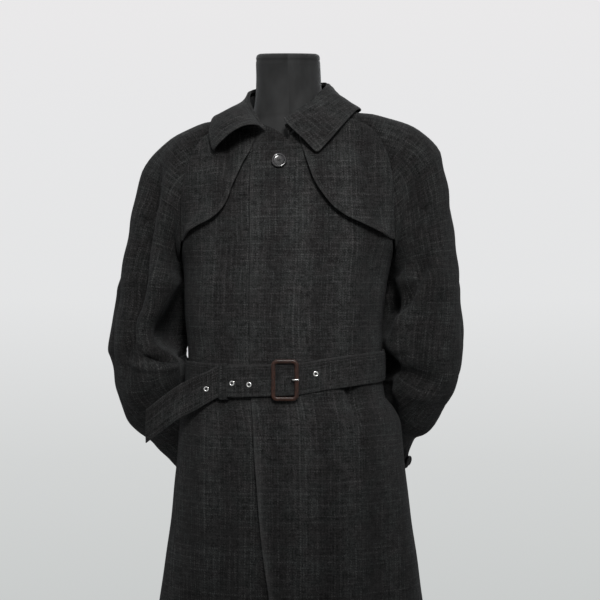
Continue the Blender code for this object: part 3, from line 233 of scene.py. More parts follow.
# flutes that open towards the hem: angle from the front, width in degrees, depth at the hem
FLUTE_COLS = ("deg", "width", "depth")
FLUTES = [(-74, 13, 0.0080), (-52, 9, -0.0050), (-34, 10, 0.0030), (28, 12, 0.0050), (49, 10, -0.0060), (70, 12, 0.0070),
          (97, 10, -0.0070), (118, 12, 0.0085), (141, 11, -0.0080), (163, 12, 0.0080), (187, 11, -0.0085),
          (207, 12, 0.0080), (228, 10, -0.0070), (247, 12, 0.0075), (268, 9, -0.0060)]
SLEEVE_RIGHT_FOLDS = [
    ("F", -0.2330, 1.460, -0.2540, 1.220, -0.2960, 0.975, 0.0190, -0.0400),
    ("F", -0.2200, 1.390, -0.2320, 1.200, -0.2560, 1.070, 0.0130, 0.0040),
    ("F", -0.2030, 1.330, -0.206, 1.280, -0.2120, 1.190, 0.0085, -0.0040),
    ("F", -0.2680, 1.048, -0.214, 1.042, -0.1640, 1.054, 0.0090, -0.0220),
    ("F", -0.3160, 1.044, -0.240, 1.022, -0.1780, 1.034, 0.0068, 0.0090),
    ("F", -0.3060, 1.026, -0.246, 1.004, -0.1900, 1.010, 0.0160, 0.0050),
    ("F", -0.3000, 0.985, -0.262, 0.955, -0.2250, 0.945, 0.0140, 0.0030),
    ("F", -0.2080, 1.442, -0.216, 1.410, -0.2170, 1.350, 0.0120, -0.0040),
    ("B", -0.2300, 1.360, -0.250, 1.23, -0.2560, 1.130, 0.015, -0.0080),
    ("B", -0.2700, 1.330, -0.284, 1.20, -0.2900, 1.100, 0.014, 0.0060),
    ("B", -0.1950, 1.070, -0.250, 1.075, -0.3050, 1.110, 0.011, -0.0080),
    ("B", -0.1950, 1.020, -0.246, 1.034, -0.3050, 1.066, 0.011, 0.0070),
    ("B", -0.1900, 0.985, -0.235, 0.992, -0.2900, 1.020, 0.010, -0.0070),
    ("B", -0.1700, 0.945, -0.225, 0.952, -0.2700, 0.980, 0.010, 0.0050),
]
SLEEVE_LEFT_FOLDS = [
    ("F", 0.2780, 1.260, 0.234, 1.145, 0.1740, 1.075, 0.0140, 0.0130),
    ("F", 0.2500, 1.240, 0.228, 1.170, 0.1860, 1.116, 0.0135, -0.0230),
    ("F", 0.2880, 1.165, 0.268, 1.125, 0.2350, 1.100, 0.0120, -0.0035),
    ("F", 0.2160, 1.096, 0.248, 1.060, 0.2660, 1.020, 0.0150, 0.0045),
    ("F", 0.1860, 1.040, 0.212, 1.052, 0.2320, 1.090, 0.0085, -0.0090),
    ("F", 0.1960, 1.024, 0.232, 1.004, 0.2760, 0.996, 0.0160, -0.0080),
    ("F", 0.2020, 0.988, 0.232, 0.974, 0.2800, 0.980, 0.0110, 0.0040),
    ("F", 0.2060, 0.945, 0.220, 0.968, 0.2340, 0.995, 0.0060, 0.0035),
    ("F", 0.2180, 0.930, 0.234, 0.950, 0.2520, 0.968, 0.0070, -0.0040),
    ("F", 0.2100, 1.440, 0.206, 1.390, 0.2030, 1.330, 0.0085, -0.0065),
    ("F", 0.1950, 1.420, 0.194, 1.360, 0.1980, 1.250, 0.0065, 0.0040),
    ("F", 0.2500, 1.430, 0.258, 1.380, 0.2640, 1.310, 0.0160, 0.0040),
    ("F", 0.2220, 1.410, 0.230, 1.340, 0.2280, 1.270, 0.0120, -0.0100),
    ("B", 0.2350, 1.360, 0.246, 1.23, 0.2500, 1.130, 0.015, -0.0080),
    ("B", 0.2780, 1.330, 0.286, 1.20, 0.2860, 1.100, 0.014, 0.0060),
    ("B", 0.1950, 1.075, 0.250, 1.075, 0.3030, 1.105, 0.011, -0.0080),
    ("B", 0.1950, 1.025, 0.246, 1.034, 0.3030, 1.060, 0.011, 0.0070),
    ("B", 0.1950, 0.988, 0.235, 0.992, 0.2880, 1.018, 0.010, -0.0070),
    ("B", 0.1700, 0.945, 0.220, 0.950, 0.2660, 0.976, 0.010, 0.0050),
]

# ---------------------------------------------------------------- mesh density
CAP_ROWS = 36
FRONT_COLS, BACK_COLS_N = 84, 62
SLEEVE_COLS_N = 96
TUBE_STEPS = 12
COLLAR_STEPS = 14
LOW_Z = np.concatenate([np.linspace(HEM_Z, 0.93, 60)[:-1], np.linspace(0.93, 1.10, 38)[:-1],
                        np.linspace(1.10, UNDERARM_Z, 20)[:-1]])


# ---------------------------------------------------------------- helpers
def columns(rows, names):
    arr = np.array(rows, dtype=float)
    return {n: arr[:, i] for i, n in enumerate(names)}


def smooth(t):
    t = np.clip(t, 0.0, 1.0)
    return t * t * (3 - 2 * t)


def curve(xs, ys):
    """Monotone cubic through the points of one table column."""
    xs, ys = np.asarray(xs, float), np.asarray(ys, float)
    if xs[0] > xs[-1]:
        xs, ys = xs[::-1], ys[::-1]
    h = np.diff(xs)
    d = np.diff(ys) / h
    m = np.zeros(len(xs))
    m[0], m[-1] = d[0], d[-1]
    for i in range(1, len(xs) - 1):
        if d[i - 1] * d[i] > 0:
            w1, w2 = 2 * h[i] + h[i - 1], h[i] + 2 * h[i - 1]
            m[i] = (w1 + w2) / (w1 / d[i - 1] + w2 / d[i])

    def f(x):
        x = np.clip(np.asarray(x, float), xs[0], xs[-1])
        i = np.clip(np.searchsorted(xs, x, side="right") - 1, 0, len(h) - 1)
        t = (x - xs[i]) / h[i]
        return ((2 * t**3 - 3 * t**2 + 1) * ys[i] + (t**3 - 2 * t**2 + t) * h[i] * m[i]
                + (-2 * t**3 + 3 * t**2) * ys[i + 1] + (t**3 - t**2) * h[i] * m[i + 1])
    return f


def table(rows, names, key):
    c = columns(rows, names)
    return {n: curve(c[key], c[n]) for n in names if n != key}


def unit(v):
    v = np.asarray(v, float)
    return v / np.maximum(np.linalg.norm(v, axis=-1, keepdims=True), 1e-12)


def along(points, fractions):
    p = np.asarray(points, float)
    s = np.concatenate([[0], np.cumsum(np.linalg.norm(np.diff(p, axis=0), axis=1))])
    s /= s[-1]
    return np.stack([np.interp(fractions, s, p[:, k]) for k in range(p.shape[1])], axis=1)


def rounded(points, per):
    """Catmull-Rom through the points, with `per` steps to a span."""
    p = np.asarray(points, float)
    q = np.concatenate([[2 * p[0] - p[1]], p, [2 * p[-1] - p[-2]]])
    out = []
    for i in range(1, len(q) - 2):
        for j in range(per):
            t = j / per
            out.append(0.5 * (2 * q[i] + (q[i + 1] - q[i - 1]) * t
                              + (2 * q[i - 1] - 5 * q[i] + 4 * q[i + 1] - q[i + 2]) * t**2
                              + (3 * q[i] - q[i - 1] - 3 * q[i + 1] + q[i + 2]) * t**3))
    out.append(p[-1])
    return np.array(out)


def spread(n, ends=0.45):
    """0 to 1 in n steps, closer together towards both ends."""
    t = np.linspace(0, 1, n + 1)
    return (1 - ends) * t + ends * (1 - np.cos(np.pi * t)) / 2


def lean(p):
    p = np.array(p, float)
    p[..., 2] += SHOULDER_LEAN * p[..., 0] * smooth((p[..., 2] - LEAN_FROM_Z) / (LEAN_FULL_Z - LEAN_FROM_Z))
    return p


body_t = table(BODY, BODY_COLS, "z")
form_t = table(FORM, FORM_COLS, "z")


def ring_r(t, psi, z):
    s, c = np.sin(psi), np.cos(psi)
    b = np.where(c > 0, t["front"](z), t["back"](z))
    n = t["n"](z)
    return (np.abs(s / t["a"](z)) ** n + np.abs(c / b) ** n) ** (-1.0 / n)


def body(psi, z, out=0.0):
    psi, z = np.broadcast_arrays(np.asarray(psi, float), np.asarray(z, float))
    r = ring_r(body_t, psi, z)
    p = lean(np.stack([body_t["xc"](z) + r * np.sin(psi), -r * np.cos(psi), z], axis=-1))
    if np.any(np.asarray(out) != 0.0):
        p = p + body_normal(psi, z) * np.asarray(out)[..., None]
    return p


def body_normal(psi, z):
    e, k = 1e-3, 1e-4
    dp = body(psi + e, z) - body(psi - e, z)
    dz = body(psi, z + k) - body(psi, z - k)
    return unit(np.cross(dp, dz))


def angle_at(x, z):
    a, b, n = body_t["a"](z), body_t["front"](z), body_t["n"](z)
    u = np.clip(x - body_t["xc"](z), -0.999 * a, 0.999 * a)
    return np.arctan2(u, b * (1 - np.abs(u / a) ** n) ** (1 / n))


def arc(psi, z, steps=40):
    """Distance round the body from the centre front, which the cloth's grain follows."""
    a, f, b, n = (body_t[k](z)[..., None] for k in ("a", "front", "back", "n"))
    q = psi[..., None] * np.linspace(0, 1, steps + 1)
    s, c = np.sin(q), np.cos(q)
    r = (np.abs(s / a) ** n + np.abs(c / np.where(c > 0, f, b)) ** n) ** (-1 / n)
    d = np.hypot(np.diff(r * s, axis=-1), np.diff(r * c, axis=-1)).sum(axis=-1)
    return np.sign(psi) * d


def normals(p, outward):
    du, dv = np.gradient(p, axis=1), np.gradient(p, axis=0)
    n = unit(np.cross(du, dv))
    flip = np.sign(np.sum(n * outward, axis=-1, keepdims=True))
    flip[flip == 0] = 1
    return n * flip


def row_reach(p):
    """Distance along each row from its first and its last point."""
    d = np.linalg.norm(np.diff(p, axis=1), axis=2)
    first = np.concatenate([np.zeros((len(p), 1)), np.cumsum(d, axis=1)], axis=1)
    return first, first[:, -1:] - first


def waver(u, v, size, seed):
    """Smooth uneven field, about -1 to 1."""
    rng = np.random.default_rng(seed)
    f = np.zeros(np.broadcast(u, v).shape)
    for _ in range(9):
        k = rng.normal(size=2)
        k *= rng.uniform(0.6, 1.5) / np.linalg.norm(k)
        f += np.sin(2 * np.pi * (k[0] * u + k[1] * v) / size + rng.uniform(0, 6.283))
    return f / 3.2


def fold_field(p, n, rows):
    """How far folds raise or sink the points of a surface along its normals."""
    out = np.zeros(p.shape[:-1])
    xz = p[..., [0, 2]].reshape(-1, 2)
    facing = {"F": smooth((-n[..., 1] + 0.02) / 0.45).ravel(), "B": smooth((n[..., 1] + 0.02) / 0.45).ravel()}
    t = np.linspace(0, 1, 25)[:, None]
    for face, x0, z0, x1, z1, x2, z2, width, depth in rows:
        a, b, c = np.array([x0, z0]), np.array([x1, z1]), np.array([x2, z2])
        line = a * (1 - t) ** 2 + b * 2 * t * (1 - t) + c * t**2
        near = np.flatnonzero((xz[:, 0] > line[:, 0].min() - 4 * width) & (xz[:, 0] < line[:, 0].max() + 4 * width)
                              & (xz[:, 1] > line[:, 1].min() - 4 * width) & (xz[:, 1] < line[:, 1].max() + 4 * width))
        if not len(near):
            continue
        q = xz[near]
        best, where = np.full(len(q), 9.0), np.zeros(len(q))
        for i in range(len(line) - 1):
            e = line[i + 1] - line[i]
            s = np.clip(((q - line[i]) @ e) / max(e @ e, 1e-12), 0, 1)
            d = np.linalg.norm(q - line[i] - s[:, None] * e, axis=1)
            hit = d < best
            best[hit], where[hit] = d[hit], (i + s[hit]) / (len(line) - 1)
        taper = smooth(np.minimum(where, 1 - where) / 0.30)
        soft = 0.3 * width
        across = (best / width) ** 2 if depth > 0 or width > 0.0155 else (np.hypot(best, soft) - soft) / (0.75 * width)
        out.reshape(-1)[near] += depth * np.exp(-across) * taper * facing[face][near]
    return out


def body_fold(psi, z, p, n):
    """Folds, hem flutes and a slight unevenness of the body; nothing moves under the belt."""
    f = fold_field(p, n, BODY_FOLDS)
    deg = np.degrees(psi)
    hang = smooth((0.985 - z) / 0.58) ** 1.3
    for d, w, depth in FLUTES:
        off = (deg - d + 180) % 360 - 180
        f += depth * np.exp(-((off / w) ** 2)) * hang
    loose = smooth(np.abs(z - 1.021) / 0.06 - 0.6)
    f += 0.0009 * waver(np.sin(psi) * 0.19, z * 0.7, 0.085, 3) * loose
    f += 0.0020 * np.exp(-(((z - 1.078) / 0.014) ** 2)) * (0.5 + 0.5 * waver(psi * 0.17, 0 * z, 0.06, 8))
    return f


# ---------------------------------------------------------------- mesh makers
def object_from(name, verts, faces, uv, material, worn=None):
    """Mesh from quads given as index rows, with a cloth map in metres; faces point out of a closed body."""
    faces, uv = np.asarray(faces), np.asarray(uv, float)
    used, faces = np.unique(faces, return_inverse=True)
    faces = faces.reshape(-1, 4)
    verts = np.asarray(verts, float)[used] + PLAN_SHIFT
    a, b, c, d = (verts[faces[:, k]] for k in range(4))
    volume = (np.sum(a * np.cross(b, c)) + np.sum(a * np.cross(c, d))) / 6
    if volume < 0:
        faces, uv = faces[:, ::-1], uv[:, ::-1]
    me = bpy.data.meshes.new(name)
    me.vertices.add(len(verts))
    me.vertices.foreach_set("co", verts.astype(np.float32).ravel())
    me.loops.add(faces.size)
    me.loops.foreach_set("vertex_index", faces.astype(np.int32).ravel())
    me.polygons.add(len(faces))
    me.polygons.foreach_set("loop_start", np.arange(0, faces.size, 4, dtype=np.int32))
    me.polygons.foreach_set("use_smooth", np.ones(len(faces), dtype=bool))
    layer = me.uv_layers.new(name="cloth")
    layer.uv.foreach_set("vector", uv.astype(np.float32).ravel())
    # the "worn" attribute marks edges that the cloth shader lightens: partly rubbed wear, partly a painted highlight
    if worn is not None:
        me.attributes.new("worn", "FLOAT", "POINT").data.foreach_set("value", worn[used].astype(np.float32))
    me.update(calc_edges=True)
    me.validate()
    me.materials.append(material)
    ob = bpy.data.objects.new(name, me)
    bpy.context.scene.collection.objects.link(ob)
    return ob


def shell(name, outer, inner, u, v, material, wrap_from=None, worn=None):
    """Closed wall between two grids with rounded rims; from row `wrap_from` on the first and last columns are one."""
    rows, cols = outer.shape[:2]
    wrap_from = rows if wrap_from is None else wrap_from
    ids = np.arange(rows * cols).reshape(rows, cols)
    ids[wrap_from:, -1] = ids[wrap_from:, 0]
    mid = (outer + inner) / 2
    push = 0.42 * np.linalg.norm(outer - inner, axis=2, keepdims=True)
    out = np.zeros_like(outer)
    out[0] += unit(outer[0] - outer[1])
    out[-1] += unit(outer[-1] - outer[-2])
    open_rows = slice(0, wrap_from)
    out[open_rows, 0] += unit(outer[open_rows, 0] - outer[open_rows, 1])
    out[open_rows, -1] += unit(outer[open_rows, -1] - outer[open_rows, -2])
    mid = mid + unit(out) * push * (np.linalg.norm(out, axis=2, keepdims=True) > 0.1)
    verts = np.concatenate([x.reshape(-1, 3) for x in (outer, inner, mid)])
    n = rows * cols
    r, c = np.meshgrid(np.arange(rows - 1), np.arange(cols - 1), indexing="ij")
    r, c = r.ravel(), c.ravel()
    quad = [(r, c), (r, c + 1), (r + 1, c + 1), (r + 1, c)]
    faces, uvs = [], []

    def add(corners, layers):
        faces.append(np.stack([ids[a, b] + n * k for (a, b), k in zip(corners, layers)], axis=1))
        uvs.append(np.stack([np.stack([u[a, b], v[a, b]], axis=1) for a, b in corners], axis=1))
    add(quad, (0, 0, 0, 0))
    add(quad[::-1], (1, 1, 1, 1))
    cc = np.arange(cols - 1)
    rr = np.arange(min(rows - 1, wrap_from))
    sides = [((0 * cc, cc + 1), (0 * cc, cc)), ((0 * cc + rows - 1, cc), (0 * cc + rows - 1, cc + 1)),
             ((rr, 0 * rr), (rr + 1, 0 * rr)), ((rr + 1, 0 * rr + cols - 1), (rr, 0 * rr + cols - 1))]
    for a, b in sides:
        add([a, b, b, a], (0, 0, 2, 2))
        add([a, b, b, a], (2, 2, 1, 1))
    # worn is the mask of the painted edge highlight, partly rubbed wear; the inner layer gets none
    if worn is not None:
        worn = np.concatenate([worn.ravel(), 0 * worn.ravel(), worn.ravel()])
    return object_from(name, verts, np.concatenate(faces), np.concatenate(uvs), material, worn)


def tube_mesh(name, grids, material, closed=False, caps=True, uv_scale=1.0):
    """Joined meshes of ring grids (rings x sides); each ring closes on itself, and the ends are capped or joined."""
    verts, faces, uvs, base = [], [], [], 0
    for g in grids:
        g = np.asarray(g, float)
        n, k = g.shape[:2]
        ids = np.arange(n * k).reshape(n, k)
        along_d = np.concatenate([[0], np.cumsum(np.linalg.norm(np.diff(g.mean(axis=1), axis=0), axis=1))])
        if along_d[-1] < 1e-9:
            along_d = np.arange(n) * 0.001
        rad = np.linalg.norm(g - g.mean(axis=1, keepdims=True), axis=2).mean(axis=1)
        last = n if closed else n - 1
        i, j = np.meshgrid(np.arange(last), np.arange(k), indexing="ij")
        i, j = i.ravel(), j.ravel()
        i2, j2 = (i + 1) % n, (j + 1) % k
        faces.append(base + np.stack([ids[i, j], ids[i, j2], ids[i2, j2], ids[i2, j]], axis=1))
        step = along_d[1] - along_d[0]
        va, vb = along_d[i], np.where(i2 == 0, along_d[-1] + step, along_d[i2])
        ua, ub = j / k * 2 * np.pi * rad.mean(), (j + 1) / k * 2 * np.pi * rad.mean()
        uvs.append(np.stack([np.stack([ua, va], 1), np.stack([ub, va], 1), np.stack([ub, vb], 1), np.stack([ua, vb], 1)], axis=1) * uv_scale)
        verts.append(g.reshape(-1, 3))
        base += n * k
        if caps and not closed:
            for ring, at in ((0, 0), (n - 1, -1)):
                verts.append(g[at].mean(axis=0)[None])
                half = k // 2
                j = np.arange(0, k, 2) if k % 2 == 0 else np.arange(0, k - 1, 2)
                o = ids[ring] + base - n * k
                cap = np.stack([o[j], o[(j + 1) % k], o[(j + 2) % k], np.full(len(j), base)], axis=1)
                cap = cap if at == -1 else cap[:, ::-1]
                faces.append(cap)
                uvs.append(np.zeros((len(cap), 4, 2)) + g[at].mean(axis=0)[:2][None, None] * uv_scale)
                base += 1
    ob = object_from(name, np.concatenate(verts), np.concatenate(faces), np.concatenate(uvs), material)
    return ob


def frame_of(normal, up=(0, 0, 1)):
    n = unit(normal)
    s = unit(np.cross(up, n))
    return s, np.cross(n, s), n


def ring_points(centre, axis, profile, sides):
    """Turned rings: (radius, height) rows along an axis."""
    s, u, n = frame_of(axis) if abs(unit(axis)[2]) < 0.9 else frame_of(axis, (0, 1, 0))
    t = np.linspace(0, 2 * np.pi, sides, endpoint=False)
    circle = np.cos(t)[:, None] * s + np.sin(t)[:, None] * u
    return np.array([np.asarray(centre) + r * circle + h * n for r, h in profile])


def stitches(name, lines, material, pitch=0.0036, length=0.0025, r=0.00032):
    """Small raised stitches along lines given as (points, normals)."""
    stations = ((-0.5, 0.55, -0.5), (0.0, 1.0, 0.35), (0.5, 0.55, -0.5))
    ring = np.linspace(0, 2 * np.pi, 6, endpoint=False)
    grids = []
    for pts, nrm in lines:
        s = np.concatenate([[0], np.cumsum(np.linalg.norm(np.diff(pts, axis=0), axis=1))])
        at = np.arange(pitch * 0.7, s[-1] - pitch * 0.5, pitch)
        c = np.stack([np.interp(at, s, pts[:, k]) for k in range(3)], axis=1)
        nn = unit(np.stack([np.interp(at, s, nrm[:, k]) for k in range(3)], axis=1))
        d = np.stack([np.interp(at + 1e-4, s, pts[:, k]) for k in range(3)], axis=1) - c
        d = unit(d)
        b = np.cross(nn, d)
        for i in range(len(at)):
            grids.append([c[i] + d[i] * a * length + nn[i] * r * h
                          + r * f * (np.cos(ring)[:, None] * b[i] + np.sin(ring)[:, None] * nn[i]) for a, f, h in stations])
    return tube_mesh(name, grids, material)


def offset_line(p, n, reach, dist):
    """The line that runs `dist` in from one edge of a grid: a point on each row."""
    pts, nn = [], []
    for r in range(len(p)):
        order = np.argsort(reach[r])
        pts.append([np.interp(dist, reach[r][order], p[r, order, k]) for k in range(3)])
        nn.append([np.interp(dist, reach[r][order], n[r, order, k]) for k in range(3)])
    return np.array(pts), unit(np.array(nn))


# ---------------------------------------------------------------- materials
class Nodes:
    """A Principled material and short ways to add nodes to it."""

    def __init__(self, name):
        self.material = bpy.data.materials.new(name)
        self.material.use_nodes = True
        self.tree = self.material.node_tree
        self.shader = self.tree.nodes["Principled BSDF"]

    def add(self, kind, inputs=None, **props):
        node = self.tree.nodes.new(kind)
        for k, val in props.items():
            setattr(node, k, val)
        for k, val in (inputs or {}).items():
            self.put(node.inputs[k], val)
        return node

    def put(self, socket, value):
        if isinstance(value, bpy.types.NodeSocket):
            self.tree.links.new(value, socket)
        else:
            socket.default_value = value

    def math(self, op, a, b=0.0, c=0.0):
        node = self.add("ShaderNodeMath", operation=op)
        for s, val in zip(node.inputs, (a, b, c)):
            self.put(s, val)
        return node.outputs[0]

    def ramp(self, value, lo, hi, to_lo=0.0, to_hi=1.0):
        node = self.add("ShaderNodeMapRange", interpolation_type="SMOOTHSTEP")
        for k, val in zip(("Value", "From Min", "From Max", "To Min", "To Max"), (value, lo, hi, to_lo, to_hi)):
            self.put(node.inputs[k], val)
        return node.outputs[0]

    def noise(self, vector, scale, detail=2.0, rough=0.5):
        node = self.add("ShaderNodeTexNoise", {"Vector": vector, "Scale": scale, "Detail": detail, "Roughness": rough})
        return node.outputs["Fac"]

    def vector(self, x, y, z=0.0):
        return self.add("ShaderNodeCombineXYZ", {"X": x, "Y": y, "Z": z}).outputs[0]

    def mix(self, fac, a, b):
        node = self.add("ShaderNodeMix", data_type="RGBA")
        self.put(node.inputs["Factor"], fac)
        for k, val in (("A", a), ("B", b)):
            socket = [s for s in node.inputs if s.name == k and s.type == "RGBA"][0]
            self.put(socket, val)
        return [s for s in node.outputs if s.type == "RGBA"][0]

    def bump(self, height, strength, distance):
        node = self.add("ShaderNodeBump", {"Height": height, "Strength": strength, "Distance": distance})
        self.put(self.shader.inputs["Normal"], node.outputs[0])

    def set(self, **values):
        for k, val in values.items():
            self.put(self.shader.inputs[k.replace("_", " ")], val)


# the check: a twill of dark yarns in which every few ends and picks are lighter
YARN = 0.00105
CHART_COLS = ("repeat", "light", "strength")
WARP_CHART = [(5, 1, 0.40), (9, 2, 0.52), (14, 1, 0.46)]
WEFT_CHART = [(6, 1, 0.36), (9, 2, 0.42), (13, 1, 0.40)]
COLUMN_PITCH, ROW_PITCH = 0.083, 0.097
TWEED_DARK, TWEED_LIGHT = 0.0085, 0.080
# how much marked cloth edges are lightened: partly rubbed wear, partly a painted highlight where the edges catch the
# light
EDGE_WEAR_AND_HIGHLIGHT = 0.34


def tweed(name, nap=1.0, level=1.0):
    m = Nodes(name)
    uv = m.add("ShaderNodeUVMap", uv_map="cloth").outputs[0]
    split = m.add("ShaderNodeSeparateXYZ", {0: uv})
    slub = m.math("SUBTRACT", m.noise(uv, 330.0, 1.0), 0.5)
    sway = m.math("SUBTRACT", m.noise(uv, 14.0, 1.0), 0.5)
    shift = m.math("MULTIPLY_ADD", slub, 0.0007, m.math("MULTIPLY", sway, 0.004))
    x = m.math("ADD", split.outputs[0], shift)
    y = m.math("ADD", split.outputs[1], shift)
    ends, picks = m.math("MULTIPLY", x, 1 / YARN), m.math("MULTIPLY", y, 1 / YARN)
    end, pick = m.math("FLOOR", ends), m.math("FLOOR", picks)

    def own(number, seed):
        return m.add("ShaderNodeTexWhiteNoise", {"W": m.math("ADD", number, seed)}, noise_dimensions="1D").outputs["Value"]

    def yarns(number, length, chart, seed):
        """Shade of each yarn by its place in the chart, uneven from yarn to yarn and along it."""
        total = m.math("MULTIPLY", own(number, seed), 0.20)
        for i, (repeat, light, strength) in enumerate(chart):
            place = m.math("FLOORED_MODULO", m.math("ADD", number, 3.0 * i), float(repeat))
            lit = m.math("LESS_THAN", place, light - 0.5)
            group = m.math("FLOOR", m.math("DIVIDE", m.math("ADD", number, 3.0 * i), float(repeat)))
            share = m.ramp(own(group, seed + 31.7 * (i + 1)), 0.0, 1.0, 0.30, 1.0)
            total = m.math("MULTIPLY_ADD", m.math("MULTIPLY", lit, share), strength, total)
        broken = m.noise(m.vector(m.math("MULTIPLY", number, 2.3), m.math("MULTIPLY", length, 170.0), seed), 1.0, 2.0, 0.7)
        worn = m.noise(m.vector(m.math("MULTIPLY", number, 0.22), m.math("MULTIPLY", length, 42.0), seed + 9.0), 1.0, 1.0)
        total = m.math("MULTIPLY", total, m.ramp(worn, 0.36, 0.66, 0.30, 1.35))
        return m.math("MULTIPLY", total, m.ramp(broken, 0.34, 0.66, 0.25, 1.45))
    warp = yarns(end, y, WARP_CHART, 1.5)
    weft = yarns(pick, x, WEFT_CHART, 57.5)
    over = m.math("LESS_THAN", m.math("FLOORED_MODULO", m.math("ADD", end, pick), 4.0), 1.5)
    woven = m.math("ADD", m.math("MULTIPLY", over, warp), m.math("MULTIPLY", m.math("SUBTRACT", 1.0, over), weft))
    # wide soft columns and rows of the check, patches of dye and stray fibres
    col = m.math("SINE", m.math("MULTIPLY", x, 2 * math.pi / COLUMN_PITCH))
    row = m.math("SINE", m.math("MULTIPLY", y, 2 * math.pi / ROW_PITCH))
    wide = m.math("MULTIPLY_ADD", col, 0.22, m.math("MULTIPLY", row, 0.06))
    speck = m.math("SUBTRACT", m.noise(uv, 290.0, 2.0, 0.7), 0.5)
    mottle = m.math("SUBTRACT", m.noise(uv, 80.0, 3.0, 0.6), 0.5)
    cloud = m.math("SUBTRACT", m.noise(uv, 19.0, 2.0), 0.5)
    fibre = m.math("SUBTRACT", m.noise(uv, 1400.0, 2.0, 0.7), 0.5)
    value = m.math("MULTIPLY_ADD", woven, 0.80, 0.14)
    value = m.math("MULTIPLY_ADD", speck, 0.80, value)
    value = m.math("MULTIPLY_ADD", mottle, 0.50, value)
    value = m.math("MULTIPLY_ADD", cloud, 0.16, value)
    value = m.math("MULTIPLY_ADD", fibre, 0.40, value)
    value = m.math("MULTIPLY", m.math("MAXIMUM", value, 0.0), m.math("ADD", 1.0, wide))
    # painted highlight along the edges marked by the "worn" attribute, with some rubbed wear in it
    edge_wear_and_highlight = m.add("ShaderNodeAttribute", attribute_name="worn").outputs["Fac"]
    value = m.math("MULTIPLY_ADD", edge_wear_and_highlight, EDGE_WEAR_AND_HIGHLIGHT, value)
    value = m.math("MINIMUM", value, 1.0)
    hue = m.math("ADD", m.noise(uv, 34.0, 1.0), m.math("MULTIPLY", m.math("ADD", col, row), 0.06))
    hue = m.ramp(hue, 0.32, 0.70)
    # level darkens a copy of the cloth; a level below 1 is painted shade
    d, l = TWEED_DARK * level, TWEED_LIGHT * level
    dark = m.mix(hue, (d * 1.02, d * 0.99, d * 0.995, 1), (d * 0.97, d * 1.012, d * 1.005, 1))
    light = m.mix(hue, (l * 1.015, l * 0.99, l * 0.995, 1), (l * 0.975, l * 1.01, l * 1.005, 1))
    m.set(Base_Color=m.mix(value, dark, light), Roughness=0.93, Sheen_Weight=0.06 * nap, Sheen_Roughness=0.55,
          Sheen_Tint=(0.75, 0.78, 0.80, 1), Specular_IOR_Level=0.05)
    round_x = m.math("SINE", m.math("MULTIPLY", m.math("FRACT", ends), math.pi))
    round_y = m.math("SINE", m.math("MULTIPLY", m.math("FRACT", picks), math.pi))
    height = m.math("ADD", m.math("MULTIPLY", over, round_x), m.math("MULTIPLY", m.math("SUBTRACT", 1.0, over), round_y))
    height = m.math("MULTIPLY_ADD", fibre, 1.2, m.math("MULTIPLY_ADD", speck, 1.2, height))
    m.bump(height, 0.5, 0.0004)
    return m.material


def thread(name):
    m = Nodes(name)
    uv = m.add("ShaderNodeUVMap", uv_map="cloth").outputs[0]
    split = m.add("ShaderNodeSeparateXYZ", {0: uv})
    ply = m.math("SINE", m.math("MULTIPLY", m.math("ADD", split.outputs[0], split.outputs[1]), 2 * math.pi / 0.0005))
    shade = m.ramp(m.math("ADD", ply, m.noise(uv, 900.0)), -0.6, 1.6)
    m.set(Base_Color=m.mix(shade, (0.010, 0.010, 0.010, 1), (0.034, 0.034, 0.033, 1)), Roughness=0.7, Sheen_Weight=0.15)
    m.bump(ply, 0.4, 0.0001)
    return m.material


def form_cover(name):
    """Stretch knit: fine ribs that follow the form, with soft dust and pile."""
    m = Nodes(name)
    uv = m.add("ShaderNodeUVMap", uv_map="cloth").outputs[0]
    split = m.add("ShaderNodeSeparateXYZ", {0: uv})
    rib = m.math("SINE", m.math("MULTIPLY", split.outputs[0], 2 * math.pi / 0.0016))
    loop = m.math("SINE", m.math("MULTIPLY", split.outputs[1], 2 * math.pi / 0.0012))
    pile = m.noise(uv, 600.0, 2.0, 0.7)
    cloud = m.noise(m.vector(m.math("MULTIPLY", split.outputs[0], 1.3), split.outputs[1]), 12.0, 3.0)
    shade = m.ramp(m.math("MULTIPLY_ADD", rib, 0.12, m.math("MULTIPLY_ADD", pile, 0.7, m.math("MULTIPLY", cloud, 0.8))), 0.35, 1.10)
    m.set(Base_Color=m.mix(shade, (0.0185, 0.0189, 0.0190, 1), (0.066, 0.0668, 0.0676, 1)), Roughness=0.72, Sheen_Weight=0.30,
          Sheen_Roughness=0.35, Sheen_Tint=(0.80, 0.83, 0.86, 1), Specular_IOR_Level=0.1)
    m.bump(m.math("MULTIPLY_ADD", m.math("MULTIPLY", rib, loop), 0.5, pile), 0.35, 0.0004)
    return m.material


def horn(name):
    """Polished brown buckle with darker streaks and worn, paler edges."""
    m = Nodes(name)
    at = m.add("ShaderNodeTexCoord").outputs["Object"]
    streak = m.add("ShaderNodeMapping", {"Vector": at, "Scale": (1.0, 1.0, 0.35)}).outputs[0]
    grain = m.noise(streak, 420.0, 4.0, 0.65)
    patch = m.noise(at, 120.0, 2.0)
    edge = m.add("ShaderNodeNewGeometry").outputs["Pointiness"]
    worn = m.ramp(m.math("MULTIPLY_ADD", m.math("SUBTRACT", grain, 0.5), 0.06, edge), 0.52, 0.60)
    tone = m.mix(m.ramp(m.math("MULTIPLY_ADD", patch, 0.6, m.math("MULTIPLY", grain, 0.5)), 0.30, 0.78),
                 (0.010, 0.0036, 0.0022, 1), (0.046, 0.0145, 0.0066, 1))
    m.set(Base_Color=m.mix(worn, tone, (0.13, 0.050, 0.026, 1)), Roughness=m.ramp(grain, 0.2, 0.8, 0.24, 0.40), Coat_Weight=0.12,
          Coat_Roughness=0.10, Specular_IOR_Level=0.32)
    m.bump(grain, 0.18, 0.0003)
    return m.material


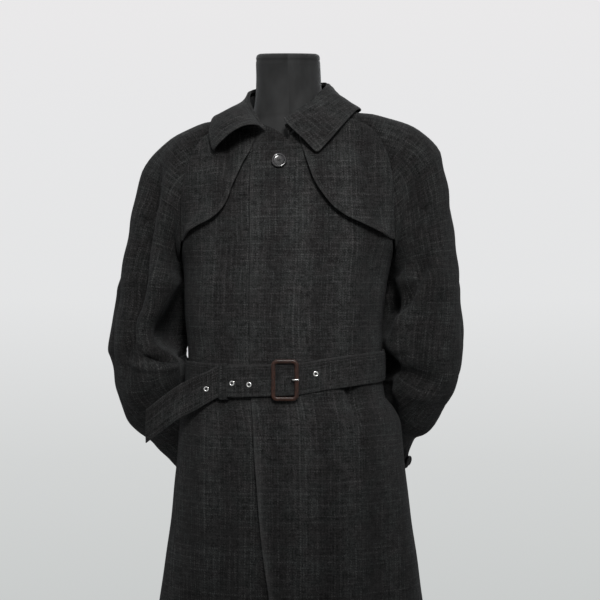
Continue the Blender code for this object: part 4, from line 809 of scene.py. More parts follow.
def metal(name, colour, rough):
    m = Nodes(name)
    at = m.add("ShaderNodeTexCoord").outputs["Object"]
    scratch = m.noise(m.add("ShaderNodeMapping", {"Vector": at, "Scale": (1.0, 1.0, 9.0)}).outputs[0], 700.0, 3.0, 0.7)
    stain = m.noise(at, 160.0, 2.0)
    m.set(Base_Color=m.mix(m.ramp(stain, 0.35, 0.75), (*colour, 1), (*[c * 0.72 for c in colour], 1)), Metallic=1.0,
          Roughness=m.ramp(scratch, 0.2, 0.8, rough * 0.7, rough * 1.5))
    m.bump(scratch, 0.08, 0.0002)
    return m.material


def button_gloss(name, coat=0.5, rough=(0.14, 0.26), level=0.6):
    m = Nodes(name)
    at = m.add("ShaderNodeTexCoord").outputs["Object"]
    swirl = m.noise(at, 260.0, 3.0, 0.6)
    m.set(Base_Color=m.mix(m.ramp(swirl, 0.35, 0.75), (0.006, 0.006, 0.007, 1), (0.022, 0.021, 0.021, 1)),
          Roughness=m.ramp(swirl, 0.2, 0.8, *rough), Coat_Weight=coat, Coat_Roughness=0.06, Specular_IOR_Level=level)
    m.bump(m.noise(at, 1500.0, 2.0), 0.05, 0.0002)
    return m.material


def powder_paint(name):
    m = Nodes(name)
    at = m.add("ShaderNodeTexCoord").outputs["Object"]
    orange_peel = m.noise(at, 900.0, 2.0, 0.6)
    dust = m.noise(at, 22.0, 4.0, 0.65)
    m.set(Base_Color=m.mix(m.ramp(dust, 0.42, 0.80), (0.020, 0.020, 0.021, 1), (0.060, 0.059, 0.056, 1)),
          Roughness=m.ramp(dust, 0.3, 0.8, 0.38, 0.62), Specular_IOR_Level=0.5)
    m.bump(orange_peel, 0.22, 0.0004)
    return m.material


mat_tweed = tweed("tweed_check")
# painted shade: the belt and its keeper are the coat's own cloth, made darker to stand for shade
mat_strap = tweed("tweed_check_belt_shaded", level=0.94)
mat_keeper = tweed("tweed_check_keeper_shaded", level=0.85)
mat_thread = thread("sewing_thread")
mat_form = form_cover("form_cover_knit")
mat_horn = horn("polished_brown_buckle")
mat_bright = metal("bright_nickel", (0.80, 0.80, 0.78), 0.20)
mat_pole = metal("brushed_pole", (0.52, 0.52, 0.53), 0.28)
mat_button = button_gloss("gloss_black_button")
mat_cuff_button = button_gloss("dull_black_button", coat=0.0, rough=(0.48, 0.62), level=0.2)
mat_paint = powder_paint("base_powder_paint")

# ---------------------------------------------------------------- seams and neckline
CAP_T = np.linspace(0.0, 1.0, CAP_ROWS + 1)
up = np.array([0.0, 0.0, 1.0])


def seam_line(rows, side):
    c = columns(rows, SEAM_COLS)
    k = np.arange(len(rows), dtype=float)
    fine = np.linspace(0, k[-1], 241)
    z, deg = curve(k, c["z"])(fine), curve(k, c["deg"])(fine)
    pts = body(np.radians(deg) * side, z)
    s = np.concatenate([[0], np.cumsum(np.linalg.norm(np.diff(pts, axis=0), axis=1))])
    s /= s[-1]
    return np.interp(CAP_T, s, z), np.interp(CAP_T, s, np.radians(deg)) * side


def neckline(deg):
    f = np.radians(deg)
    mid, half = (NECK_FRONT_Y + NECK_BACK_Y) / 2, (NECK_BACK_Y - NECK_FRONT_Y) / 2
    rise = np.abs(np.sin(f / 2)) ** NECK_RISE_POWER
    return lean(np.stack([NECK_HALF_W * np.sin(f), mid - half * np.cos(f),
                          NECK_FRONT_Z + (NECK_BACK_Z - NECK_FRONT_Z) * rise], axis=-1))


fly_x = table(FLY, FLY_COLS, "z")["x"]


def fly_lift(psi):
    return FLY_LIFT * (1 - smooth((np.degrees(psi) - 25) / 33))


def front_grid(side, edge_x):
    u = spread(FRONT_COLS)
    psi, z = [], []
    zs, ps = seam_line(SEAM_FRONT, side)
    for zz in LOW_Z:
        pe = angle_at(edge_x(zz), zz)
        ends = side * (math.pi / 2 - 0.00015 / body_t["a"](zz))
        psi.append(pe + (ends - pe) * u)
        z.append(np.full_like(u, zz))
    for k in range(CAP_ROWS, -1, -1):
        v = 1 - CAP_T[k]
        ze = UNDERARM_Z + (NECK_FRONT_Z - UNDERARM_Z) * v
        pe = angle_at(edge_x(ze), ze)
        p = pe + (ps[k] - side * 0.0002 / 0.19 - pe) * u
        top = (np.clip(p * side, 0, None) / abs(ps[k])) ** 0.55
        w = (1 - v * v) * u + v * v * top
        psi.append(p)
        z.append(ze + (zs[k] - ze) * w)
    return np.array(psi), np.array(z)


def back_grid(side):
    u = spread(BACK_COLS_N)
    psi, z = [], []
    zs, ps = seam_line(SEAM_BACK, side)
    for zz in LOW_Z:
        a = side * (math.pi / 2 + 0.00015 / body_t["a"](zz))
        b = side * (math.pi - 0.00015 / body_t["back"](zz))
        psi.append(a + (b - a) * u)
        z.append(np.full_like(u, zz))
    for k in range(CAP_ROWS, -1, -1):
        v = 1 - CAP_T[k]
        zc = UNDERARM_Z + (NECK_BACK_Z - UNDERARM_Z) * v
        a = ps[k] + side * 0.0002 / 0.19
        b = side * (math.pi - 0.00015 / body_t["back"](zc))
        psi.append(a + (b - a) * u)
        z.append(zs[k] + (zc - zs[k]) * u)
    return np.array(psi), np.array(z)


SEAM_DIP, SEAM_REACH = 0.0017, 0.0056
LOW = len(LOW_Z)
cap_row = np.concatenate([np.zeros(LOW), np.linspace(0, 1, CAP_ROWS + 1)])[:, None]


def dip(reach):
    return -SEAM_DIP * np.exp(-((reach / SEAM_REACH) ** 2))


def panel(name, psi, z, lift, edge=None):
    """A body panel with its folds, easing to the sewn edges; a lapped edge stands off, the edge under it sinks."""
    p, n = body(psi, z), body_normal(psi, z)
    first, last = row_reach(p)
    raglan = smooth((last if edge else first) / 0.045)
    calm = (1 - smooth(cap_row / 0.15)) + smooth(cap_row / 0.15) * raglan
    low_calm = calm * (1 - smooth((z - 1.34) / 0.08))
    f = body_fold(psi, z, p, n) * low_calm + fold_field(p, n, UPPER_FOLDS) * calm + lift + dip(last)
    belted = smooth((z - 0.955) / 0.025) * smooth((1.095 - z) / 0.025)
    skirt = smooth((0.975 - z) / 0.12)
    if edge == "over":
        f += (0.0022 * np.exp(-((first / 0.010) ** 2)) + 0.0045 * skirt * np.exp(-((first / 0.040) ** 2))) * (1 - belted)
        f -= 0.0007 * np.exp(-((first / 0.0022) ** 2))
    elif edge == "under":
        f -= (0.0015 * (1 - belted) + 0.0040 * skirt) * np.exp(-(((p[..., 0] - fly_x(z)) / 0.024) ** 2))
    else:
        f += dip(first)
    q = p + n * f[..., None]
    nn = normals(q, n)
    # painted highlight: a light border along the lapped front edge, strongest below the belt, where the edge catches
    # the light; partly rubbed wear
    worn = np.exp(-((first / (0.0040 + 0.0030 * skirt)) ** 2)) * (0.45 + 0.75 * skirt) if edge == "over" else None
    ob = shell(name, q, q - nn * WALL, arc(psi, z), z, mat_tweed, worn=worn)
    return ob, q, nn, first, last


pieces = {}
made = {}
for name, side, edge, over in (("front_left", 1, fly_x, True), ("front_right", -1, lambda z: UNDER_EDGE_X + 0 * z, False)):
    psi, z = front_grid(side, edge)
    made[name] = panel(name + "_cloth", psi, z, fly_lift(psi) if over else 0 * psi, "over" if over else "under")
    pieces[name] = made[name][0]
for name, side in (("back_left", 1), ("back_right", -1)):
    psi, z = back_grid(side)
    made[name] = panel(name + "_cloth", psi, z, 0 * psi)
    pieces[name] = made[name][0]


# ---------------------------------------------------------------- sleeves
def bezier(a, ca, cb, b, s):
    s = s[:, None]
    return a * (1 - s) ** 3 + ca * 3 * s * (1 - s) ** 2 + cb * 3 * s**2 * (1 - s) + b * s**3


def split_curve(c0, c1, c2, c3, t):
    """A Bezier curve as two, cut at t: control points of both."""
    d0, d1, d2 = c0 + (c1 - c0) * t, c1 + (c2 - c1) * t, c2 + (c3 - c2) * t
    e0, e1 = d0 + (d1 - d0) * t, d1 + (d2 - d1) * t
    m = e0 + (e1 - e0) * t
    return [c0, d0, e0, m, e1, d2, c3]


def sleeve_grid(side, rows):
    zs, ps = seam_line(SEAM_FRONT, side)
    zb, pb = seam_line(SEAM_BACK, side)
    front, back = body(ps, zs), body(pb, zb)
    fine = rounded(np.array(RIDGE), 12)
    high, low = SHOULDER_OUT_LEFT if side > 0 else SHOULDER_OUT_RIGHT
    fine[:, 0] += smooth((fine[:, 0] - 0.15) / 0.07) * (low + (high - low) * smooth((fine[:, 2] - 1.262) / 0.075))
    ridge = lean(along(fine, CAP_T) * np.array([side, 1, 1]))
    fwd = np.array([0.0, -1.0, 0.0])
    flat = np.array([1.0, 0.0, 1.0])
    secs = []
    for k in range(CAP_ROWS + 1):
        w = smooth((CAP_T[k] - 0.5) / 0.5)
        a, r, b = front[k], ridge[k], back[k]
        if k == CAP_ROWS:
            a = b = front[k] + np.array([side * 0.0006, 0, 0])
        qa, qr = 0.5523 * (r - a) * flat, SLEEVE_FULL * (a - r) * (1 - flat)
        h = 4 / 3 * UNDERARM_FRONT_D * fwd
        qb, qs = 0.5523 * (r - b) * flat, 0.5523 * (b - r) * (1 - flat)
        g = -4 / 3 * UNDERARM_BACK_D * fwd
        fore = split_curve(a, a + qa * (1 - w) + h * w * 0.72, r + qr * (1 - w) + h * w * 1.36, r, LOBE_SPLIT)
        secs.append(np.array(fore + [r + qs * (1 - w) + g * w, b + qb * (1 - w) + g * w, b]))
    c = columns(rows, SLEEVE_COLS)
    inner = np.stack([c["ix"], c["iy"], c["iz"]], axis=1)
    outer = np.stack([c["rx"], c["ry"], c["rz"]], axis=1)
    lobes = np.stack([c["lx"], c["ly"], inner[:, 2] + LOBE_SPLIT * (outer - inner)[:, 2]], axis=1)
    near = np.where(c["hollow"][:, None] > 0, lobes, inner)
    mid = np.concatenate([[(secs[-1][3] * [1, 0.4, 1] + secs[-1][6]) / 2], (near + outer) / 2])
    path = unit(np.gradient(mid, axis=0))
    keys = [np.ravel(secs[-1])]
    for j in range(len(rows)):
        across = outer[j] - inner[j]
        d = unit(np.cross(path[j + 1], across)) * side
        if np.dot(d, fwd) < 0:
            d = -d
        e = unit(across)
        f, g = 4 / 3 * c["front"][j] * d, -4 / 3 * c["back"][j] * d
        q = c["hollow"][j]
        if q == 0.0:
            fore = split_curve(inner[j], inner[j] + f, outer[j] + f, outer[j], LOBE_SPLIT)
        else:
            ahead = unit(fwd - path[j + 1] * np.dot(fwd, path[j + 1]))
            lobe = lobes[j]
            step = (lobe - inner[j]) / 3
            turn = ahead * LOBE_BACK - e * LOBE_IN
            well = lobe + e * HOLLOW_REACH + (inner[j] - lobe) * np.array([0.25, 0.95, 0])
            deep = c["front"][j]
            fore = [inner[j], (inner[j] + step) * (1 - q) + well * q, (inner[j] + 2 * step) * (1 - q) + (lobe - turn) * q, lobe,
                    lobe + ahead * deep * 0.70 - e * LOBE_IN, outer[j] + ahead * deep * 1.62, outer[j]]
        keys.append(np.ravel(fore + [outer[j] + g, inner[j] + g, inner[j]]))
    tube = rounded(np.array(keys), TUBE_STEPS)[1:]
    allsec = secs + [t.reshape(10, 3) for t in tube]
    quarter, half = np.linspace(0, 1, SLEEVE_COLS_N // 4 + 1), np.linspace(0, 1, SLEEVE_COLS_N // 2 + 1)
    grid = []
    for q in allsec:
        f = bezier(q[0], q[1], q[2], q[3], quarter)
        g = bezier(q[3], q[4], q[5], q[6], quarter)
        h = bezier(q[6], q[7], q[8], q[9], half)
        grid.append(np.concatenate([f, g[1:], h[1:]]))
    grid = np.array(grid)
    # even out the turn from cap to tube, away from the seams
    u = np.linspace(0, 1, grid.shape[1])[None, :, None]
    rows_i = np.arange(len(grid))[:, None, None]
    hold = smooth((np.minimum(u, 1 - u) - 0.02) / 0.10) * smooth((rows_i - CAP_ROWS + 16) / 8) * smooth((CAP_ROWS + 12 - rows_i) / 8)
    gap = np.linalg.norm(np.diff(grid[:, grid.shape[1] // 2], axis=0), axis=1)
    share = (gap[1:] / (gap[1:] + gap[:-1]))[:, None, None]
    for _ in range(110):
        even = grid.copy()
        even[1:-1] = grid[:-2] * share + grid[2:] * (1 - share)
        grid = grid + 0.5 * hold * (even - grid)
    for k in range(CAP_ROWS):
        for c0, c1 in ((0, 1), (-1, -2)):
            grid[k, c0] += unit(grid[k, c1] - grid[k, c0]) * 0.0002
    return grid


def sleeve_normals(grid):
    mid = grid.mean(axis=1, keepdims=True)
    n = normals(grid, grid - mid)
    wrap = grid[CAP_ROWS:]
    ring = np.concatenate([wrap[:, -2:-1], wrap, wrap[:, 1:2]], axis=1)
    du = (ring[:, 2:] - ring[:, :-2]) / 2
    dv = np.gradient(grid, axis=0)[CAP_ROWS:]
    nn = unit(np.cross(du, dv))
    flip = np.sign(np.sum(nn * (wrap - mid[CAP_ROWS:]), axis=-1).mean(axis=1))[:, None, None]
    n[CAP_ROWS:] = nn * flip
    return n


sleeves = {}
for name, side, rows, folds in (("sleeve_left", 1, SLEEVE_LEFT, SLEEVE_LEFT_FOLDS), ("sleeve_right", -1, SLEEVE_RIGHT, SLEEVE_RIGHT_FOLDS)):
    g = sleeve_grid(side, rows)
    n = sleeve_normals(g)
    count = len(g)
    ridge_col = SLEEVE_COLS_N // 2
    v = np.concatenate([[0], np.cumsum(np.linalg.norm(np.diff(g[:, ridge_col], axis=0), axis=1))])
    first, last = row_reach(g)
    reach = first - first[:, ridge_col:ridge_col + 1]
    way = unit(np.gradient(g[:, ridge_col], axis=0))
    skew = [np.sum(unit(g[:, ridge_col + k] - g[:, ridge_col]) * way, axis=1)[:, None] for k in (-4, 4)]
    skew = np.where(reach < 0, skew[0], skew[1]) * smooth((CAP_ROWS + 6 - np.arange(count)) / 12)[:, None]
    u, vv = reach * np.sqrt(1 - skew**2), v[:, None] + np.abs(reach) * skew
    cap = (np.arange(count) < CAP_ROWS)[:, None]
    fade = np.where(cap, smooth(np.minimum(first, last) / 0.030), 1.0)
    fade = fade * smooth((v[-1] - v)[:, None] / 0.05)
    f = fold_field(g, n, folds) * fade
    f += 0.0010 * waver(u + 0.3 * side, vv, 0.075, 21 + side) * fade * smooth((v[:, None] - 0.12) / 0.15)
    f += np.where(cap, dip(first) + dip(last), 0.0)
    q = g + n * f[..., None]
    nn = sleeve_normals(q)
    pieces[name] = shell(name + "_cloth", q, q - nn * WALL, u + 0.021 * side, vv, mat_tweed, wrap_from=CAP_ROWS)
    sleeves[name] = (q, nn)

# ---------------------------------------------------------------- storm flaps
stitch_lines = []
FLAP_ROWS, FLAP_COLS_N = 84, 44
for name, side, rows in (("storm_flap_left", 1, FLAP_LEFT), ("storm_flap_right", -1, FLAP_RIGHT)):
    edge = along(rounded(np.array(rows), 12), np.linspace(0, 1, FLAP_ROWS + 1))
    c = columns(SEAM_FRONT, SEAM_COLS)
    k = np.linspace(0.9, 6.9, FLAP_ROWS + 1)
    idx = np.arange(len(SEAM_FRONT), dtype=float)
    sz, sp = curve(idx, c["z"])(k), np.radians(curve(idx, c["deg"])(k)) * side
    ez = edge[:, 1] - SHOULDER_LEAN * edge[:, 0] * smooth((edge[:, 1] - LEAN_FROM_Z) / (LEAN_FULL_Z - LEAN_FROM_Z))
    ep = angle_at(edge[:, 0], ez)
    u = (0.55 * np.linspace(0, 1, FLAP_COLS_N + 1) + 0.45 * np.linspace(0, 1, FLAP_COLS_N + 1) ** 2)[None, :]
    sp = sp - side * 0.0016 / 0.19
    psi = ep[:, None] + (sp - ep)[:, None] * u
    z = ez[:, None] + (sz - ez)[:, None] * u
    along_edge = np.linspace(0, 1, FLAP_ROWS + 1)[:, None]
    rest = fly_lift(psi) if side > 0 else 0 * psi
    p, n = body(psi, z), body_normal(psi, z)
    first, last = row_reach(p)
    lift = rest + 0.0013 + WALL + FLAP_LIFT * (1 - smooth(u / 0.7)) * smooth(along_edge / 0.3) * smooth((1 - along_edge) / 0.12)
    bend = 0.0006 * waver(psi * 0.15, z, 0.05, 31 + side) * smooth(along_edge / 0.2) * smooth((1 - along_edge) / 0.2) * (1 - smooth(u / 0.9))
    edge_round = -0.0007 * np.exp(-((first / 0.0020) ** 2)) - 0.00035 * np.exp(-(((first - 0.0062) / 0.0013) ** 2))
    calm = smooth(last / 0.045)
    f = lift + np.maximum(bend, -0.0004) + edge_round + body_fold(psi, z, p, n) * calm * (1 - smooth((z - 1.34) / 0.08))
    f += fold_field(p, n, UPPER_FOLDS) * calm
    q = p + n * f[..., None]
    nn = normals(q, n)
    # painted highlight along the flap's free edge where it catches the light, partly rubbed wear
    pieces[name] = shell(name + "_cloth", q, q - nn * WALL, arc(psi, z) + 0.0037, z + 0.0052, mat_tweed, worn=0.5 * np.exp(-((first / 0.0032) ** 2)))
    reach, _ = row_reach(q)
    stitch_lines.append(offset_line(q[6:], nn[6:], reach[6:], 0.0062))

# ---------------------------------------------------------------- collar
cs = rounded(np.array(COLLAR, float), COLLAR_STEPS)
cc = {n: cs[:, i] for i, n in enumerate(COLLAR_COLS)}
fold = np.stack([cc["fx"], cc["fy"], cc["fz"]], axis=1)
tip = np.stack([cc["ex"], cc["ey"], cc["ez"]], axis=1)
way = unit(np.gradient(fold, axis=0))
flat_out = unit(np.stack([fold[:, 0], fold[:, 1] + 0.005, 0 * fold[:, 0]], axis=1))
chord = tip - fold
lift_dir = unit(np.cross(chord, way))
lift_dir *= np.sign(np.sum(lift_dir * (flat_out + 0.6 * up), axis=1))[:, None]
turn = np.radians(np.concatenate([np.linspace(185, 55, 12)]))
hub = fold + flat_out * COLLAR_ROLL_R
lines = [hub + COLLAR_ROLL_R * (math.cos(t) * flat_out + math.sin(t) * up) for t in turn]
start = lines[-1]
go = unit(math.sin(turn[-1]) * flat_out - math.cos(turn[-1]) * up)
length = np.linalg.norm(tip - start, axis=1)[:, None]
c1 = start + go * length * 0.22 + lift_dir * cc["bulge"][:, None] * 1.15
c2 = tip + (start - tip) * 0.34 + lift_dir * cc["bulge"][:, None]
for s in 0.8 * np.linspace(0, 1, 35)[1:] + 0.2 * np.sin(np.linspace(0, 1, 35)[1:] * np.pi / 2):
    lines.append(start * (1 - s) ** 3 + c1 * 3 * s * (1 - s) ** 2 + c2 * 3 * s**2 * (1 - s) + tip * s**3)
fall = np.stack(lines, axis=1)
first, last = row_reach(fall)
col_d = np.concatenate([np.zeros((1, fall.shape[1])), np.cumsum(np.linalg.norm(np.diff(fall, axis=0), axis=2), axis=0)])
ends = np.minimum(col_d, col_d[-1:] - col_d)
a, b = (np.clip((COLLAR_CORNER_R - d) / COLLAR_CORNER_R, 0, 1) for d in (ends, last))
shrink = (1 - np.maximum(a, b) / np.maximum(np.hypot(a, b), 1e-9)) * COLLAR_CORNER_R
inward = unit(np.gradient(fall, axis=0)) * np.where(np.arange(len(fall)) < len(fall) / 2, 1, -1)[:, None, None]
fall = fall + inward * (a * shrink)[..., None] - unit(np.gradient(fall, axis=1)) * (b * shrink)[..., None]
fn = normals(fall, np.repeat((flat_out + 0.5 * up)[:, None, :], fall.shape[1], axis=1))
for j in range(4):
    fn[:, j] = unit(fall[:, j] - hub)
first, last = row_reach(fall)
col_d = np.concatenate([np.zeros((1, fall.shape[1])), np.cumsum(np.linalg.norm(np.diff(fall, axis=0), axis=2), axis=0)])
ends = np.minimum(col_d, col_d[-1:] - col_d)
shape = np.zeros(fall.shape[:2])
for reach in (last, ends):
    shape += -0.0007 * np.exp(-((reach / 0.0020) ** 2)) - 0.0003 * np.exp(-(((reach - 0.0062) / 0.0013) ** 2))
shape += 0.0006 * waver(col_d, last, 0.06, 5) * smooth(first / 0.02)
fall = fall + fn * shape[..., None]
# painted highlight along the collar's edges where they catch the light, partly rubbed wear
pieces["collar_fall"] = shell("collar_fall_cloth", fall, fall - fn * COLLAR_WALL, col_d[:, 14:15] * np.ones_like(first), first + 0.004, mat_tweed,
                              worn=0.55 * np.exp(-((np.minimum(last, ends) / 0.0030) ** 2)))
line, ln = offset_line(fall, fn, row_reach(fall)[1], 0.0062)
stitch_lines.append((line[4:-4], ln[4:-4]))
for r0, r1 in ((0, 1), (-1, -2)):
    half = np.array([np.interp(0.0062, ends[:12, j] if r0 == 0 else ends[::-1][:12, j], np.arange(12)) for j in range(fall.shape[1])])
    rows_at = half if r0 == 0 else len(fall) - 1 - half
    lo = np.clip(np.floor(rows_at).astype(int), 0, len(fall) - 2)
    w = (rows_at - lo)[:, None]
    j = np.arange(fall.shape[1])
    pts = fall[lo, j] * (1 - w) + fall[lo + 1, j] * w
    nrm = unit(fn[lo, j] * (1 - w) + fn[lo + 1, j] * w)
    stitch_lines.append((pts[10:-3], nrm[10:-3]))

round_neck = np.abs((cc["deg"] + 180) % 360 - 180)
low = neckline(cc["deg"]) + up * (0.0008 + 0.0065 * np.exp(-(round_neck / 16.0) ** 2))[:, None]
high = fold - up * STAND_DROP
keep = (high - low)[:, 2] > 0.004
low, high, fo = low[keep], high[keep], flat_out[keep]
stand = np.stack([low + (high - low) * s for s in np.linspace(0, 1, 13)], axis=1)
sd = np.concatenate([[0], np.cumsum(np.linalg.norm(np.diff(stand[:, 6], axis=0), axis=1))])
pieces["collar_stand"] = shell("collar_stand_cloth", stand, stand + fo[:, None, :] * WALL, np.repeat(sd[:, None], 13, 1), row_reach(stand)[0] + 0.4, mat_tweed)

# ---------------------------------------------------------------- belt
bt = np.array(BELT, float)
fine_deg = np.concatenate([np.arange(-5, -50, -0.9), np.arange(-50, -342, -1.6), np.arange(-342, -409.5, -0.7)])
order = np.arange(len(BELT), dtype=float)
pos = np.interp(-fine_deg, -bt[:, 0], order)
belt_z, belt_lift = curve(order, bt[:, 1])(pos), curve(order, bt[:, 2])(pos)
rad = np.radians(fine_deg)
RING_Z = 1.02
ctr = body(rad, np.full_like(rad, RING_Z))
nrm = unit(body_normal(rad, np.full_like(rad, RING_Z)) * np.array([1, 1, 0]))
ctr[:, 2] = belt_z
inner_c = ctr + nrm * belt_lift[:, None]
tail_line = rounded(np.concatenate([inner_c[[-9, -5]], np.array(TAIL)]), 14)[20:]
tail_way = unit(np.gradient(tail_line, axis=0) * np.array([1, 1, 0]))
tail_n = unit(np.cross(tail_way, up))
tail_n *= np.sign(-tail_n[:, 1])[:, None]
lead = 4
centre = np.concatenate([inner_c[:-lead], tail_line])
norm = np.concatenate([nrm[:-lead], tail_n])
for _ in range(6):
    norm[1:-1] = unit(norm[:-2] + 2 * norm[1:-1] + norm[2:])
past = np.concatenate([np.zeros(len(inner_c) - lead), np.linspace(0, 1, len(tail_line))])
height = BELT_H + (BELT_TAIL_H - BELT_H) * smooth(past * 2)
ACROSS = spread(18, 0.7) - 0.5
sdist = np.concatenate([[0], np.cumsum(np.linalg.norm(np.diff(centre, axis=0), axis=1))])
strap = centre[:, None, :] + up * (height[:, None] * ACROSS[None, :])[..., None]
from_edge = height[:, None] * (0.5 - np.abs(ACROSS[None, :]))
crown = 0.0004 * (1 - (2 * ACROSS[None, :]) ** 2) - 0.0008 * np.exp(-((from_edge / 0.0022) ** 2)) - 0.0004 * np.exp(-(((from_edge - 0.0060) / 0.0013) ** 2))
ripple = 0.0012 * waver(np.repeat(sdist[:, None], 19, 1), ACROSS[None, :] * 0.05, 0.09, 77) * smooth(past[:, None] * 3)
face = strap + norm[:, None, :] * (BELT_T + crown + ripple)[..., None]
backs = strap + norm[:, None, :] * (ripple + 0.0005 * np.exp(-((from_edge / 0.0022) ** 2)))[..., None]
bu, bv = np.repeat(sdist[:, None], 19, 1), height[:, None] * ACROSS[None, :]
# painted highlight along the belt's edges where they catch the light, partly rubbed wear
pieces["belt"] = shell("belt_cloth", face, backs, bv + 0.2, bu, mat_strap, worn=0.5 * np.exp(-((from_edge / 0.0026) ** 2)) + 0 * bu)
bn = np.repeat(norm[:, None, :], 19, axis=1)
for a in (0, 1):
    reach = row_reach(face)[a]
    pts, nn = offset_line(face, bn, reach, 0.0060)
    stitch_lines.append((pts[3:-5], nn[3:-5]))


def on_strap(x):
    """Outer face of the strap at the front, at this x: point and normal."""
    half = len(ctr) // 2
    out, nn = (centre + norm * (BELT_T + 0.0004))[half:], norm[half:]
    i = int(np.argmin(np.abs(out[:, 0] - x)))
    j = i + 1 if i + 1 < len(out) and (out[i + 1, 0] - x) * (out[i, 0] - x) < 0 else i - 1
    w = (x - out[i, 0]) / (out[j, 0] - out[i, 0])
    return out[i] + (out[j] - out[i]) * w, unit(nn[i] + (nn[j] - nn[i]) * w)


# keeper loop
kp = np.radians(KEEPER_DEG)
kc = body(kp, RING_Z)
kn = unit(body_normal(kp, RING_Z) * np.array([1, 1, 0]))
kw = np.cross(kn, up)
kz = float(curve(order, bt[:, 1])(np.interp(-(KEEPER_DEG - 360), -bt[:, 0], order)))
near, far = 0.0006 + KEEPER_T / 2, 0.0083 + BELT_T + 0.0008 + KEEPER_T / 2
hh = BELT_H / 2 + 0.0032 + KEEPER_T / 2
path = []
for d, zz, a0 in ((far, hh, 0), (near, hh, 90), (near, -hh, 180), (far, -hh, 270)):
    cr = 0.0028
    cd, cz = (d - cr if d == far else d + cr), (zz - cr if zz > 0 else zz + cr)
    for a in np.radians(a0 + np.linspace(0, 90, 7)):
        path.append((cd + cr * math.cos(a), cz + cr * math.sin(a)))
loop = []
for k in range(4):
    a, b = np.array(path[k * 7 + 6]), np.array(path[(k * 7 + 7) % 28])
    loop += [np.array(q) for q in path[k * 7:k * 7 + 7]]
    loop += [a + (b - a) * t for t in np.linspace(0, 1, 14)[1:-1]]
loop = np.array(loop)
tang = unit(np.roll(loop, -1, axis=0) - np.roll(loop, 1, axis=0))
outn = np.stack([tang[:, 1], -tang[:, 0]], axis=1)
grid = []
ring = np.linspace(0, 2 * np.pi, 24, endpoint=False)
for (d, zz), (od, oz) in zip(loop, outn):
    sec = []
    for a in ring:
        w = math.copysign(abs(math.cos(a)) ** 0.35, math.cos(a)) * KEEPER_W / 2
        th = math.copysign(abs(math.sin(a)) ** 0.6, math.sin(a)) * KEEPER_T / 2
        sec.append(kc * np.array([1, 1, 0]) + up * (kz + zz + oz * th) + kn * (d + od * th) + kw * w)
    grid.append(sec)
pieces["belt_keeper"] = tube_mesh("belt_keeper_cloth", [grid], mat_keeper, closed=True)

# ---------------------------------------------------------------- buckle, prong, eyelets
strap_mid, _ = on_strap(BUCKLE_X)
frame_y = strap_mid[1] - 0.0008 - BUCKLE_T / 2
corner = 0.010
loop = []
for cx, cz, a0 in ((1, 1, 0), (-1, 1, 90), (-1, -1, 180), (1, -1, 270)):
    arcs = [(cx * (BUCKLE_W / 2 - corner), cz * (BUCKLE_H / 2 - corner), math.cos(a), math.sin(a)) for a in np.radians(a0 + np.linspace(0, 90, 13))]
    loop += arcs
full = []
for k in range(4):
    part = loop[k * 13:k * 13 + 13]
    nxt = loop[(k * 13 + 13) % 52]
    full += part
    full += [tuple(np.array(part[-1]) + (np.array(nxt) - np.array(part[-1])) * t) for t in np.linspace(0, 1, 10)[1:-1]]
grid = []
ring = np.linspace(0, 2 * np.pi, 20, endpoint=False)
for cx, cz, dx, dz in full:
    sec = []
    bar = BUCKLE_BAR / 2 * 1.12
    for a in ring:
        ca, sa = math.copysign(abs(math.cos(a)) ** 0.75, math.cos(a)), math.copysign(abs(math.sin(a)) ** 0.85, math.sin(a))
        rr = corner - BUCKLE_BAR / 2 + bar * ca
        sec.append((BUCKLE_X + cx + dx * rr, frame_y + BUCKLE_T / 2 * sa, BUCKLE_Z + cz + dz * rr))
    grid.append(sec)
pieces["buckle_frame"] = tube_mesh("buckle_frame_horn", [grid], mat_horn, closed=True)

px = BUCKLE_X + BUCKLE_W / 2
pin = rounded(np.array([(px - 0.0125, strap_mid[1] - 0.0014, BUCKLE_Z + 0.0005),
                        (px - 0.0090, frame_y - BUCKLE_T / 2 - 0.0012, BUCKLE_Z + 0.0008),
                        (px - 0.0030, frame_y - BUCKLE_T / 2 - 0.0017, BUCKLE_Z + 0.0011),
                        (px + 0.0012, frame_y - BUCKLE_T / 2 - 0.0014, BUCKLE_Z + 0.0014)]), 8)
grid = []
for i, (c, w) in enumerate(zip(pin, unit(np.gradient(pin, axis=0)))):
    t = i / (len(pin) - 1)
    r = 0.00125 * (0.70 + 0.30 * smooth(t * 4)) * (1 - 0.45 * smooth((t - 0.80) / 0.20)) * (1 if t < 1 else 0.55)
    s, u, _ = frame_of(w)
    grid.append([c + r * (math.cos(a) * s + math.sin(a) * u) for a in np.linspace(0, 2 * np.pi, 16, endpoint=False)])
pieces["buckle_prong"] = tube_mesh("buckle_prong_metal", [grid], mat_bright)

